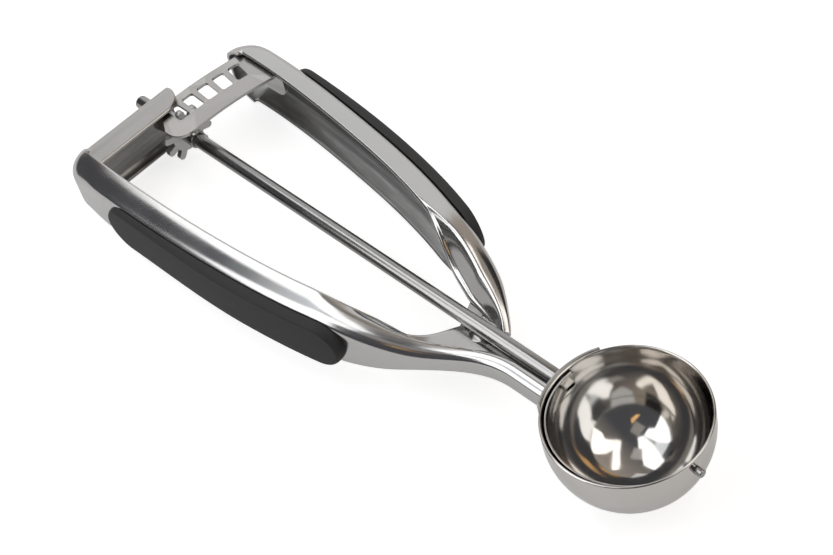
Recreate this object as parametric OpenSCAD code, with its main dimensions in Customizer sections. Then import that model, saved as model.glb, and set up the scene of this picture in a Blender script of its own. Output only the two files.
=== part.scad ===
// Squeeze-handle ice cream scoop with a rotating scraper blade.
// Millimetres. Origin at the centre of the bowl's sphere, on the axis of the drive rod.
// +X runs along the rod out of the bowl's front, +Z points out of the bowl's mouth,
// and the squeezed lever lies on the +Y side of the rod.

/* [Bowl] */
// Outer radius of the bowl
bowl_r = 23; // [20:0.5:27]
// Sheet thickness of the bowl
bowl_wall = 0.8; // [0.6:0.1:1.2]
// Height of the rim above the rod's axis
rim_h = 4.6; // [3:0.2:7]
// Thickness of the saddle welded round the back of the bowl
collar_t = 0.9; // [0.6:0.1:1.5]
// Half of the angle that the saddle wraps round the bowl
collar_angle = 31; // [25:1:40]
// Depth of the saddle below the rod's axis
collar_drop = 8; // [7:0.5:12]

/* [Scraper blade] */
// Thickness of the scraper blade
blade_t = 0.5; // [0.4:0.1:0.8]
// Gap between the blade and the inside of the bowl
blade_gap = 0.3; // [0.2:0.1:0.6]
// Width of the blade at the rod
blade_w_back = 7.6; // [6:0.2:9]
// Width of the blade halfway round
blade_w_mid = 6.6; // [5:0.2:8]
// Width of the blade at the front pin
blade_w_front = 4.6; // [4:0.2:6]
// Length of the blade past the pole at each end
blade_overrun = 2.7; // [2.2:0.1:3.5]
// Diameter of the pin that carries the blade at the bowl's front
front_pin_d = 2.4; // [2:0.1:3]
// How far the front pin stands out of the bowl
front_pin_out = 2.2; // [1.5:0.1:3.5]

/* [Drive rod] */
// Diameter of the rod
rod_d = 4.5; // [4:0.1:5]
// Radial clearance of the rod and pins in their holes
running_gap = 0.06; // [0.02:0.01:0.1]
// Length of rod that stands out behind the rear bridge
rod_stub = 11; // [6:0.5:14]
// Outer diameter of the collar in front of the pinion
rod_collar_d = 5.8; // [5.4:0.1:6.6]
// Length of the collar in front of the pinion
rod_collar_len = 5; // [3:0.5:8]

/* [Rack and pinion] */
// Teeth on the pinion
teeth = 10; // [10:1:10]
// Distance from one window to the next along the rack
tooth_pitch = 5.83; // [5.75:0.01:5.9]
// Outer radius of the pinion
pinion_r = 9.2; // [9:0.1:9.4]
// Radius of the pinion between its teeth
root_r = 6; // [5.4:0.1:6.4]
// Width of a tooth
tooth_w = 2.4; // [2:0.1:2.6]
// Thickness of the pinion
pinion_t = 1.8; // [1.4:0.1:2.4]
// How far the rack's middle plane lies below the top of the pitch circle
rack_drop = 0.75; // [0.6:0.05:0.8]
// Windows in the rack
windows = 5; // [4:1:5]
// Opening of a window along the rack
window_len = 4.1; // [4:0.05:4.2]
// Opening of a window across the rack
window_w = 7.2; // [6.6:0.1:7.6]
// Thickness of the rack plate
rack_t = 1; // [0.8:0.1:1.1]
// Width of metal behind the windows
rack_back = 3; // [2.4:0.1:3.2]
// Width of metal in front of the windows
rack_front = 6.5; // [5:0.1:7]
// Distance from the pivot to the middle of the windows
rack_radius = 128.7; // [122:0.1:134]

/* [Handles] */
// Distance from the bowl's centre back to the lever's pivot
pivot_back = 55; // [52:1:60]
// Height of the channel-shaped handles
handle_h = 22.4; // [21:0.2:25]
// Sheet thickness of the handles
sheet = 1.2; // [0.8:0.1:1.4]
// Depth of the channel's top and bottom walls
flange = 8; // [7:0.5:9]
// Radius of the channel's long outer edges
edge_r = 4.5; // [3.8:0.1:5.2]
// Radius of the same edges at the closed rear ends
end_r = 7.4; // [6:0.1:7.6]
// Distance from the rod's axis to the fixed handle's outer wall at the rear
side_y = 37.3; // [36:0.1:40]

/* [Neck and pivot] */
// Top of the neck's ridge above the rod's axis
neck_top = 1.7; // [1:0.1:2.4]
// Bottom of the neck below the rod's axis
neck_drop = 6.6; // [6:0.1:8]
// Distance from the rod's axis to the neck's outer wall
neck_side = 8; // [7.5:0.1:9]
// Depth of the floor under the rod, measured to its upper face
floor_drop = 3.5; // [3.3:0.1:4]
// Diameter of the pivot rivet
pivot_d = 4; // [3.4:0.1:4.6]
// Diameter of the pivot rivet's heads
pivot_head_d = 6.4; // [6:0.2:8]
// Thickness of the washer between neck and lever
washer_t = 0.4; // [0.3:0.1:0.6]
// Radius of the lever's eye round the pivot
eye_r = 6.4; // [5.6:0.2:7]

/* [Return spring] */
// Wire diameter of the torsion spring
wire_d = 1; // [0.8:0.1:1.2]
// Mean radius of the spring's coil
coil_r = 3.2; // [3:0.1:4]
// Whole turns in the coil, besides the part turn between its legs
coil_turns = 1; // [1:1:2]

/* [Grips] */
// Height of a grip pad
grip_h = 16.4; // [14:0.2:18]
// Thickness of a grip pad
grip_t = 1.9; // [1.6:0.1:2.4]
// Bevel along a grip pad's outer edge
grip_bevel = 1; // [0.5:0.1:1.2]

/* [Rear bridge] */
// Distance from the middle of the rack back to the bridge's wall
bridge_back = 13; // [12.6:0.1:14]
// Depth of the bridge's top lip
bridge_lip = 11.6; // [10:0.1:12]
// Depth of the bridge's bottom lip
bridge_foot = 4; // [3:0.1:6]
// How far the bridge reaches past the rod's axis
bridge_past = 4.3; // [3.6:0.1:4.6]
// Radius of the bridge's long top and bottom edges
bridge_r = 4; // [3:0.1:5]

/* [Hidden] */
$fn = 48;

eps = 0.01;
steel = [0.76, 0.75, 0.73];
bright = [0.84, 0.84, 0.84];
rubber = [0.16, 0.16, 0.17];

// Rack and pinion, worked out from the pitch
pitch_r = teeth * tooth_pitch / 2 / PI;
rack_z = pitch_r - rack_drop;
rack_x = -pivot_back - rack_radius;
rest_tooth = 91;
window_step = tooth_pitch / rack_radius * 180 / PI;
first_window = pitch_r * (90 - rest_tooth) / rack_radius;

// Handle ends and bridge
weld_gap = 0.05;
bridge_x = rack_x - bridge_back;
end_x = bridge_x - 2.8;
end_y = side_y - 9;
top_z = handle_h / 2;
rod_hole_d = rod_d + 2 * running_gap;

// Neck, pivot stack and bowl joint
collar_r = bowl_r + collar_t;
floor_under = -floor_drop - sheet;
eye_top = floor_under - washer_t - running_gap;
eye_under = eye_top - sheet;
bowl_in = bowl_r - bowl_wall;
blade_out = bowl_in - blade_gap;

function mix(a, b, t) = a + (b - a) * t;
function ease(t) = let (c = max(0, min(1, t))) c * c * (3 - 2 * c);
function ramp(x, from, to) = ease((x - from) / (to - from));
function bump(x, at, width) = exp(-pow((x - at) / width, 2));
function curve(p, t) = pow(1 - t, 3) * p[0] + 3 * t * pow(1 - t, 2) * p[1]
    + 3 * t * t * (1 - t) * p[2] + t * t * t * p[3];
function slope(p, t) = 3 * pow(1 - t, 2) * (p[1] - p[0]) + 6 * t * (1 - t) * (p[2] - p[1])
    + 3 * t * t * (p[3] - p[2]);
// One station of a handle: its place, and the unit direction inward from its outer wall
function station(p, t, side) = let (d = slope(p, t), n = norm(d))
    [curve(p, t), side * [d[1], -d[0]] / n];
function stations(p, steps, side, first = 0) =
    [for (i = [first:steps]) station(p, i / steps, side)];

// Outline of a channel's section, from the bottom inner edge round the outside and back.
// u runs inward from the outer wall. skin gives the height of the top wall at u.
corner_steps = 5;
skin_steps = 7;
inner_corner = 0.1;
function skin(u, s) = mix(s[1], s[5], ease((u - s[7]) / s[8]));
function skin_under(u, s, t) = let (m = (skin(u + 0.05, s) - skin(u - 0.05, s)) / 0.1)
    max(skin(u, s) - t * sqrt(1 + m * m), s[5] - t);
function section(s, t) = let (
        top = s[1] - t, low = s[2] + t, r = t > 0 ? max(s[6] - t, inner_corner) : s[6], c = t + r)
    concat(
        [[s[4], low]],
        [for (i = [0:corner_steps]) let (a = 270 - 90 * i / corner_steps)
            [c + r * cos(a), low + r + r * sin(a)]],
        [for (i = [0:corner_steps]) let (a = 180 - 90 * i / corner_steps)
            [c + r * cos(a), top - r + r * sin(a)]],
        [for (i = [1:skin_steps]) let (u = mix(c, s[3], i / skin_steps))
            [u, t > 0 ? skin_under(u, s, t) : skin(u, s)]]);
// s = [station, top, bottom, top depth, bottom depth, top edge height, edge radius,
//      ridge width, slope width]
function ring(s) = let (at = s[0][0], n = s[0][1], out = section(s, 0), inn = section(s, sheet))
    [for (q = concat(out, [for (i = [len(inn) - 1:-1:0]) inn[i]]))
        [at[0] + n[0] * q[0], at[1] + n[1] * q[0], q[1]]];

// Solid swept through rings of equal length. The end caps join each ring's outer half
// to its inner half, so that every face of a bent strip stays a quad.
module sweep(rings, turned = false) {
    n = len(rings[0]);
    last = len(rings) - 1;
    h = n / 2;
    sides = [for (i = [0:last - 1]) for (j = [0:n - 1])
        [i * n + j, i * n + (j + 1) % n, (i + 1) * n + (j + 1) % n, (i + 1) * n + j]];
    caps = [for (j = [0:h - 2]) for (e = [0, 1]) let (o = e * last * n)
        e == 0 ? [o + j, o + n - 1 - j, o + n - 2 - j, o + j + 1]
               : [o + j, o + j + 1, o + n - 2 - j, o + n - 1 - j]];
    tris = [for (f = concat(sides, caps)) for (k = [0, 1])
        k == 0 ? [f[0], f[1], f[2]] : [f[0], f[2], f[3]]];
    points = [for (r = rings) for (p = r) p];
    polyhedron(points, turned ? [for (f = tris) [f[0], f[2], f[1]]] : tris, convexity = 8);
}

// Quarter turn from a to b that starts along y and ends along x
turn = 0.552;
function quarter(a, b) = [a, [a[0], mix(a[1], b[1], turn)], [mix(b[0], a[0], turn), b[1]], b];

// Fixed handle: a channel with a round closed end, which turns in at the front and becomes the neck
grip_from = rack_x + 8.7;
fixed_end = quarter([end_x, -end_y], [end_x + 9, -side_y]);
fixed_side = [fixed_end[3], [end_x + 43, -side_y - 0.9], [-pivot_back - 58, 1.2 - side_y],
              [-pivot_back - 30, 7.3 - side_y]];
fixed_bend = [fixed_side[3], [-pivot_back - 3, 13 - side_y], [-pivot_back + 1, -neck_side - 0.5],
              [-pivot_back + 19, -neck_side]];
neck_line = [fixed_bend[3], [-pivot_back + 22, -neck_side], [-collar_r - 4, -neck_side],
             [3 - collar_r, -neck_side]];
end_steps = 6;
side_steps = 16;
bend_steps = 14;

// Radius of the long outer edges: larger at the closed rear end
function edge_at(x, low, small) = mix(mix(edge_r, end_r, ramp(-x, -end_x - 19, -end_x - 7)), small, low);
function fixed_shape(s) = let (
        x = s[0][0] + pivot_back,
        low = ramp(x, -37, 8),
        recess = bump(x, 5.3, 7),
        top = mix(top_z, neck_top, low),
        r = edge_at(s[0][0], low, 1.8))
    [s, top, -mix(top_z, neck_drop, low),
     mix(flange, neck_side + 3.2, ramp(x, -35, 0)) + 5.2 * recess,
     mix(flange, 3, ramp(x, -30, -6)),
     mix(top, -floor_drop, ramp(x, -25, -3)),
     r, mix(flange, 3.4, ramp(x, -34, -6)), mix(4, 2.2, ramp(x, -20, 0))];
fixed_stations = concat(stations(fixed_end, end_steps, -1), stations(fixed_side, side_steps, -1, 1),
    stations(fixed_bend, bend_steps, -1, 1), stations(neck_line, 3, -1, 1));

// Lever handle: the same channel, ending in a flat eye round the pivot
lever_x = end_x + 5.6;
lever_y = side_y - 0.8;
lever_end = quarter([lever_x, lever_y - 9], [lever_x + 9, lever_y]);
lever_side = [lever_end[3], [lever_x + 46, lever_y + 0.3], [-pivot_back - 52, lever_y - 4.2],
              [-pivot_back - 25, lever_y - 13.4]];
lever_bend = [lever_side[3], [-pivot_back - 9, lever_y - 18.8], [-pivot_back + 1.5, lever_y - 25.7],
              [-pivot_back + 6.4, 5.5]];
lever_low = 38;

lip_top = eye_under + 2 * sheet + 0.5;
function lever_shape(s) = let (
        x = s[0][0] + pivot_back,
        low = pow(max(0, (x + lever_low - 6.6) / lever_low), 2),
        top = mix(top_z, lip_top, low),
        r = edge_at(s[0][0], low, 0.8))
    [s, top, -mix(top_z, -eye_under, ramp(x, -32, -2)),
     mix(flange, 1.5, ramp(x, -26, 4)),
     mix(flange, 4, ramp(x, -20, 4)),
     top, r, flange, 1];
lever_stations = concat(stations(lever_end, end_steps, 1), stations(lever_side, side_steps, 1, 1),
    stations(lever_bend, bend_steps, 1, 1));

module bowl_profile(outer, inner) {
    difference() {
        union() {
            circle(outer);
            translate([-outer, 0]) square([2 * outer, rim_h]);
        }
        circle(inner);
        translate([-inner, 0]) square([2 * inner, rim_h + 1]);
        translate([-outer - 1, -outer - 1]) square([outer + 1, 2 * outer + rim_h + 2]);
        translate([-outer - 1, rim_h]) square([2 * outer + 2, outer + 1]);
    }
}

module rod_hole(d, from, to) {
    translate([from, 0, 0]) rotate([0, 90, 0]) cylinder(h = to - from, d = d);
}

module bowl() {
    keyhole_r = 0.6;
    color(bright) difference() {
        rotate_extrude($fn = 96) bowl_profile(bowl_r, bowl_in);
        rod_hole(rod_hole_d, -bowl_r - 1, 1 - bowl_in);
        rod_hole(front_pin_d + 2 * running_gap, bowl_in - 1, bowl_r + 1);
        translate([bowl_in - 1, 0, front_pin_d / 2 + keyhole_r / 2])
            rotate([0, 90, 0]) cylinder(h = bowl_wall + 2, r = keyhole_r);
    }
}

module bowl_collar() {
    color(steel) difference() {
        rotate([0, 0, 180 - collar_angle]) rotate_extrude(angle = 2 * collar_angle, $fn = 96)
            difference() {
                bowl_profile(collar_r, bowl_r + weld_gap);
                translate([0, -collar_drop - collar_r]) square([collar_r + 1, collar_r]);
            }
        rod_hole(rod_hole_d, -collar_r - 1, 1 - bowl_in);
    }
}

module pivot_bore(d) {
    translate([-pivot_back, 0, -3 * neck_drop]) cylinder(h = 4 * neck_drop, d = d);
}

module fixed_handle() {
    color(steel) difference() {
        sweep([for (s = fixed_stations) ring(fixed_shape(s))]);
        pivot_bore(pivot_d + 2 * running_gap);
        // the neck's front end follows the saddle
        sphere(collar_r + weld_gap, $fn = 96);
        cylinder(h = 2 * top_z, r = collar_r + weld_gap, $fn = 96);
    }
}

module rear_bridge() {
    near_y = weld_gap - end_y;
    corner = bridge_lip - bridge_r;
    tongue_h = 6;
    tongue = 4;
    color(steel) difference() {
        union() {
            translate([bridge_x, near_y, 0]) rotate([-90, 0, 0])
                linear_extrude(bridge_past - near_y) difference() {
                    bridge_outline(0, bridge_r);
                    bridge_outline(sheet, bridge_r - sheet);
                }
            // tongue of the wall that goes into the handle's closed end
            translate([bridge_x, near_y - tongue, -tongue_h])
                cube([sheet, tongue + eps, 2 * tongue_h]);
        }
        rod_hole(rod_hole_d, bridge_x - 1, bridge_x + 2 * sheet);
        // rounded far corner of the top lip
        translate([bridge_x + bridge_lip, bridge_past, 0]) difference() {
            translate([-corner, -corner, 0]) cube([corner + 1, corner + 1, top_z + 1]);
            translate([-corner, -corner, -1]) cylinder(h = top_z + 3, r = corner);
        }
        // the bottom lip is shorter than the top one
        translate([bridge_x + bridge_foot, near_y - 1, -top_z - 1])
            cube([bridge_lip, bridge_past - near_y + 2, top_z]);
    }
}

// Section of the bridge in its own plane: x forward from the wall, y down
module bridge_outline(inset, r) {
    a = top_z - inset;
    translate([inset, -a]) union() {
        translate([r, 0]) square([bridge_lip + (inset > 0 ? 1 : 0) - r - inset, 2 * a]);
        translate([0, r]) square([r, 2 * a - 2 * r]);
        translate([r, r]) circle(r);
        translate([r, 2 * a - r]) circle(r);
    }
}

// Grip pad on the outer wall: it follows the wall's own stations
function grip_half(x, from, to) = let (h = grip_h / 2, d = min(x - from, to - x) / h)
    d >= 1 ? h : h * sqrt(max(0.02, 1 - pow(1 - d, 2)));
function grip_ring(s, from, to) = let (
        p = s[0], n = s[1], h = grip_half(p[0], from, to), b = min(grip_bevel, h * 0.4))
    [for (q = [[-weld_gap, -h], [-grip_t + b, -h], [-grip_t, b - h],
               [-grip_t, h - b], [-grip_t + b, h], [-weld_gap, h]])
        [p[0] + n[0] * q[0], p[1] + n[1] * q[0], q[1]]];
module grip(path, from, to) {
    inside = [for (s = path) if (s[0][0] > from + 0.05 && s[0][0] < to - 0.05) s];
    color(rubber) sweep([for (s = inside) grip_ring(s, from, to)]);
}

grip_fine = 4;
module fixed_grip() {
    grip(concat(stations(fixed_side, side_steps * grip_fine, -1),
                stations(fixed_bend, bend_steps * grip_fine, -1, 1)),
         grip_from, -pivot_back - 24.5);
}

module lever_grip() {
    grip(concat(stations(lever_side, side_steps * grip_fine, 1),
                stations(lever_bend, bend_steps * grip_fine, 1, 1)),
         grip_from + 4, -pivot_back - 20.5);
}

module lever_handle() {
    nose_r = norm(lever_bend[3] + [pivot_back, 0]);
    color(steel) difference() {
        union() {
            sweep([for (s = lever_stations) ring(lever_shape(s))], true);
            // flat tongue with the pivot's eye
            translate([0, 0, eye_under + eps]) linear_extrude(sheet - 2 * eps) intersection() {
                union() {
                    translate([-pivot_back, 0]) circle(eye_r);
                    polygon(concat([[-pivot_back - 12, 8.5]],
                        [for (i = [4:bend_steps]) let (s = lever_stations[end_steps + side_steps + i])
                            s[0] + s[1] * sheet / 2],
                        [[-pivot_back + eye_r, 0], [-pivot_back, -eye_r], [-pivot_back - 4, -5]]));
                }
                translate([-pivot_back - 20, -20]) square([20 + nose_r, 60]);
            }
        }
        pivot_bore(pivot_d + 2 * running_gap);
    }
}

rack_in = rack_radius - window_w / 2 - rack_front;
rack_out = rack_radius + window_w / 2 + rack_back;
rack_fold_angle = 35;
// Corner of the fold line on the rack's rear edge, seen from the pivot, and the line's turn
fold_at = [-132.5 / 135.3 * rack_out, -4.1];
fold_turn = 59;
fold_root = 0.05;

module rack_plate() {
    color(steel) translate([-pivot_back, 0, rack_z - rack_t / 2]) union() {
        linear_extrude(rack_t) difference() {
            rack_outline();
            translate(fold_at) rotate(fold_turn) translate([-20, -20]) square([20, 40]);
            for (i = [0:windows - 1])
                rotate(-first_window - i * window_step) translate([-rack_radius, 0]) window_outline();
        }
        // free corner, bent down about the fold line and rooted just under the plate's top
        translate(concat(fold_at, rack_t - fold_root)) rotate([0, 0, fold_turn])
            rotate([0, -rack_fold_angle, 0]) translate([0, 0, -rack_t]) linear_extrude(rack_t)
                intersection() {
                    rotate(-fold_turn) translate(-fold_at) rack_outline();
                    translate([-20, -20]) square([20 + fold_root, 40]);
                }
        rack_ear();
    }
}

module rack_outline() {
    top = rack_z + rack_t / 2;
    far_y = lever_y - edge_r + sqrt(pow(edge_r - sheet, 2) - pow(top - top_z + edge_r, 2)) - weld_gap;
    near_angle = asin(9 / rack_out);
    span = asin(far_y / rack_in) + near_angle + 1;
    difference() {
        rotate(180 + near_angle - span) ring_sector(rack_in, rack_out, span, [5, 3]);
        translate([-rack_out - 1, far_y]) square([rack_out, rack_front + window_w]);
        // rounded rear corner, inside the lever's own rounded end
        translate([-sqrt(pow(rack_out, 2) - pow(far_y, 2)) - 0.2, far_y + 0.2]) rotate(-14) difference() {
            translate([-1, -edge_r]) square([edge_r + 1, edge_r + 2]);
            translate([edge_r, -edge_r]) circle(edge_r);
        }
    }
}

// Sector of a flat ring from angle 0, with round corners at its far end
module ring_sector(inner_r, outer_r, angle, r) {
    difference() {
        intersection() {
            difference() {
                circle(outer_r, $fn = 180);
                circle(inner_r, $fn = 180);
            }
            polygon([[0, 0], [2 * outer_r, 0], 2 * outer_r * [cos(angle), sin(angle)]]);
        }
        rotate(angle) for (side = [0, 1])
            translate([side == 0 ? inner_r : outer_r, 0]) mirror([side, 0]) difference() {
                translate([-1, -r[side]]) square([r[side] + 1, r[side] + 1]);
                translate([r[side], -r[side]]) circle(r[side]);
            }
    }
}

module window_outline() {
    r = 0.9;
    for (v = [0, 1])
        if (v == 0) square([window_w - 2 * r, window_len], center = true);
        else square([window_w, window_len - 2 * r], center = true);
    for (x = [-1, 1]) for (y = [-1, 1])
        translate([x * (window_w / 2 - r), y * (window_len / 2 - r)]) circle(r);
}

// Tab bent down from the front of the rack, just inside the lever's top wall
module rack_ear() {
    w = 11;
    depth = 8;
    r = 1.5;
    y = lever_y - flange + 1;
    front = -sqrt(pow(rack_in, 2) - pow(y, 2)) + 3.5;
    translate([front - w, y, rack_t - depth]) rotate([90, 0, 0]) linear_extrude(rack_t) union() {
        translate([0, r]) square([w, depth - r]);
        translate([r, 0]) square([w - 2 * r, depth]);
        for (x = [r, w - r]) translate([x, r]) circle(r);
    }
}

// The rack never reaches this tooth, and its place is left plain
blank_tooth = 5;
module pinion() {
    lobe_r = tooth_w / 2;
    color(steel) translate([rack_x - pinion_t / 2, 0, 0]) rotate([90, 0, 90])
        linear_extrude(pinion_t) difference() {
            union() {
                circle(root_r);
                for (i = [0:teeth - 1]) if (i != blank_tooth) rotate(rest_tooth + i * 360 / teeth) {
                    translate([0, -lobe_r]) square([pinion_r - lobe_r, tooth_w]);
                    translate([pinion_r - lobe_r, 0]) circle(lobe_r);
                }
            }
            circle(rod_d / 2 + eps);
        }
}

tang_t = 1.6;
tang_w = 3.2;
tang_end = 1.2;
module drive_rod() {
    back = bridge_x - rod_stub;
    round_end = 1;
    shoulder = -blade_out;
    color(bright) union() {
        translate([back, 0, 0]) rotate([90, 0, 90]) rotate_extrude() difference() {
            square([rod_d / 2, shoulder - back]);
            translate([rod_d / 2 - round_end, 0]) difference() {
                square([round_end + 1, 2 * round_end], center = false);
                translate([0, round_end]) circle(round_end);
                translate([0, round_end]) square([round_end, round_end + 1]);
            }
        }
        translate([shoulder - eps, -tang_w / 2, -tang_t / 2])
            cube([blade_t + tang_end + eps, tang_w, tang_t]);
    }
}

module sleeve(from, to, outer_d, inner_d) {
    translate([from, 0, 0]) rotate([90, 0, 90]) linear_extrude(to - from) difference() {
        circle(d = outer_d);
        circle(d = inner_d);
    }
}

module rod_collar() {
    front = rack_x + pinion_t / 2;
    color(bright) sleeve(front + eps, front + rod_collar_len, rod_collar_d, rod_d + 2 * eps);
}

module rod_spacer() {
    gap = 0.1;
    color(steel) sleeve(bridge_x + sheet + gap, rack_x - pinion_t / 2 - eps, rod_collar_d, rod_d + 2 * eps);
}

// The blade is a band of a thin spherical shell on the -Y side of the rod's axis
blade_tilt = -2;
module scraper_blade() {
    back = blade_out + 1;
    color(bright) rotate([blade_tilt, 0, 0]) difference() {
        intersection() {
            sphere(blade_out, $fn = 96);
            union() {
                rotate([90, 0, 0]) linear_extrude(back)
                    polygon([[-back, -blade_w_back / 2], [-back / 2, -blade_w_mid / 2 - 0.3],
                             [0, -blade_w_mid / 2], [back, -blade_w_front / 2],
                             [back, blade_w_front / 2], [0, blade_w_mid / 2],
                             [-back / 2, blade_w_mid / 2 + 0.3], [-back, blade_w_back / 2]]);
                blade_tip(-1, blade_w_back);
                blade_tip(1, blade_w_front);
            }
        }
        sphere(blade_out - blade_t, $fn = 96);
        // slot for the rod's tang, longer than the tang on the blade's side
        rotate([-blade_tilt, 0, 0]) translate([-back, -tang_w / 2 - 1.6, -tang_t / 2 - eps])
            cube([4, tang_w + 1.6 + eps, tang_t + 2 * eps]);
        rotate([0, 90, 0]) cylinder(h = back, d = front_pin_d + 2 * eps);
    }
}

// End of the blade past the pole, with round corners
module blade_tip(side, w) {
    r = 1.4;
    depth = 3;
    translate([side * (blade_out - depth / 2), 0, 0]) rotate([90, 0, 90])
        linear_extrude(depth + 2, center = true) union() {
            translate([-1, -w / 2]) square([blade_overrun + 1 - r, w]);
            translate([-1, r - w / 2]) square([blade_overrun + 1, w - 2 * r]);
            for (z = [-1, 1]) translate([blade_overrun - r, z * (w / 2 - r)]) circle(r);
        }
}

module blade_front_pin() {
    inner = blade_out - blade_t - 0.7;
    outer = bowl_r + front_pin_out;
    bead = 0.5;
    color(bright) union() {
        rod_hole(front_pin_d, inner, outer);
        // peened head inside the blade
        rod_hole(front_pin_d + 2 * bead, inner, blade_out - blade_t - 0.2);
    }
}

dome_h = 0.9;
spring_gap = 0.2;
cup_t = 0.5;
coil_top = eye_under - spring_gap - wire_d / 2;
coil_pitch = wire_d + 0.1;
coil_low = coil_top - (coil_turns + 1) * coil_pitch;
cup_top = coil_low - wire_d / 2 - spring_gap;
module pivot_rivet() {
    head_t = 0.7;
    low = cup_top - cup_t - head_t;
    dome_r = (pow(pivot_head_d / 2, 2) + pow(dome_h, 2)) / (2 * dome_h);
    color(bright) translate([-pivot_back, 0, 0]) union() {
        translate([0, 0, low]) cylinder(h = -floor_drop - low + eps, d = pivot_d);
        translate([0, 0, low]) cylinder(h = head_t, d = pivot_head_d);
        intersection() {
            translate([0, 0, -floor_drop + dome_h - dome_r]) sphere(dome_r);
            translate([0, 0, -floor_drop]) cylinder(h = dome_h, d = pivot_head_d);
        }
    }
}

module flat_ring(z, h, outer_d) {
    translate([-pivot_back, 0, z]) linear_extrude(h) difference() {
        circle(d = outer_d);
        circle(d = pivot_d + 2 * running_gap);
    }
}

module pivot_washer() {
    color(steel) flat_ring(floor_under - washer_t, washer_t, 2 * eye_r - 2);
}

module spring_cup() {
    color(steel) flat_ring(cup_top - cup_t, cup_t, 2 * coil_r + 2 * wire_d);
}

// Torsion spring: a coil round the rivet. One leg lies on the fixed handle's wall, the other
// on the edge of the lever's bottom wall
near_at = fixed_stations[end_steps + side_steps + 2];
near_leg = near_at[0] + near_at[1] * (sheet + wire_d / 2 + spring_gap);
far_at = lever_stations[end_steps + side_steps + 2];
far_leg = far_at[0] + far_at[1] * (lever_shape(far_at)[4] + wire_d / 2 + 0.4);
coil_step = 20;
function leg_angle(p) = let (d = p - [-pivot_back, 0], a = atan2(d[1], d[0]),
    off = acos(coil_r / norm(d))) [a - off, a + off];
function spring_path() = let (
        start = leg_angle(near_leg)[0],
        finish = leg_angle(far_leg)[1],
        sweep_angle = 360 * coil_turns + ((finish - start) % 360 + 360) % 360,
        n = ceil(sweep_angle / coil_step))
    concat([[near_leg[0], near_leg[1], coil_top]],
        [for (i = [0:n]) let (a = start + sweep_angle * i / n)
            [-pivot_back + coil_r * cos(a), coil_r * sin(a),
             coil_top - coil_pitch * sweep_angle * i / n / 360]],
        [[far_leg[0], far_leg[1], coil_top - coil_pitch * sweep_angle / 360]]);
function wire_ring(p, i) = let (
        a = p[max(0, i - 1)], b = p[min(len(p) - 1, i + 1)], d = (b - a) / norm(b - a),
        side = cross([0, 0, 1], d) / norm(cross([0, 0, 1], d)), up = cross(d, side))
    [for (k = [0:7]) let (g = 45 * k + 22.5) p[i] + wire_d / 2 * (side * cos(g) + up * sin(g))];
module return_spring() {
    p = spring_path();
    color(bright) sweep([for (i = [0:len(p) - 1]) wire_ring(p, i)], true);
}

bowl();
bowl_collar();
fixed_handle();
rear_bridge();
fixed_grip();
lever_handle();
lever_grip();
rack_plate();
drive_rod();
pinion();
rod_collar();
rod_spacer();
scraper_blade();
blade_front_pin();
pivot_rivet();
pivot_washer();
return_spring();
spring_cup();
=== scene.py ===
# %% [markdown]
# # A squeeze-handle ice cream scoop
# The working model comes in as a fixed frame: every piece at its real size, with its joints.
# This lesson dresses it. Most of the tool is polished sheet steel, and polished steel shows only
# two things, the shape of its surface and the room around it. So the coarse pressed handles
# are made again as smooth surfaces, and the room gets as much care as the materials.

# %% Load the frame
import math
import bpy
import bmesh
import numpy as np
from mathutils import Matrix, Vector


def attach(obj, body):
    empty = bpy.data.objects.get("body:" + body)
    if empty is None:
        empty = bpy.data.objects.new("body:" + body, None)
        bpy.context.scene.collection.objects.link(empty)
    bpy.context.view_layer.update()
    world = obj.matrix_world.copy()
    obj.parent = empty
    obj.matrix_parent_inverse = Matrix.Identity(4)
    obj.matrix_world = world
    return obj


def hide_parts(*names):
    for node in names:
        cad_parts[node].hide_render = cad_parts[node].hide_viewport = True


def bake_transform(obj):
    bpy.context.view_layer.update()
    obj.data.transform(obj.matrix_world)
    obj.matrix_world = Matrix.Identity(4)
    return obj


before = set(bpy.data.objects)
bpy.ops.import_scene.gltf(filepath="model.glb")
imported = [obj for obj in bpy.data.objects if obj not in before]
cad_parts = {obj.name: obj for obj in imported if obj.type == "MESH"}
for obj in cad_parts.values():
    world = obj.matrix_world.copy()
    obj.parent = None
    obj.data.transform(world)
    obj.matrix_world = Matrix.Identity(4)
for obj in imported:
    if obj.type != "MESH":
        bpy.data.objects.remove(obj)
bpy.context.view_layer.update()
MM = 0.001

# %% [markdown]
# ## The camera
# The camera looks down from the bowl's near side, with a slight roll. A long lens keeps the far
# handle nearly as large as the near one. Its direction could be set by pointing it at an empty
# object, but three angles are exact and easy to read. The matrix holds the camera's right, up and
# backward directions. The view transform is Standard, so that white paper renders as white.

# %% Camera
azimuth = math.radians(57.27)
elevation = math.radians(48.19)
roll = math.radians(-15.81)
camera_place = (0.224566, -0.194882, 0.406672)
back = Vector((math.sin(azimuth) * math.cos(elevation),
               -math.cos(azimuth) * math.cos(elevation), math.sin(elevation)))
level = Vector((math.cos(azimuth), math.sin(azimuth), 0))
upward = back.cross(level)
right = level * math.cos(roll) + upward * math.sin(roll)
above = upward * math.cos(roll) - level * math.sin(roll)
camera_data = bpy.data.cameras.new("camera")
camera_data.sensor_width = 36
camera_data.lens = 83.05
camera_data.clip_start = 0.01
camera_data.clip_end = 20
camera = bpy.data.objects.new("camera", camera_data)
camera.matrix_world = Matrix.Translation(camera_place) @ Matrix(
    (right, above, back)).transposed().to_4x4()
bpy.context.scene.collection.objects.link(camera)
bpy.context.scene.camera = camera
bpy.context.scene.view_settings.view_transform = "Standard"
print("camera to bowl, mm:", round(Vector(camera_place).length / MM))

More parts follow.
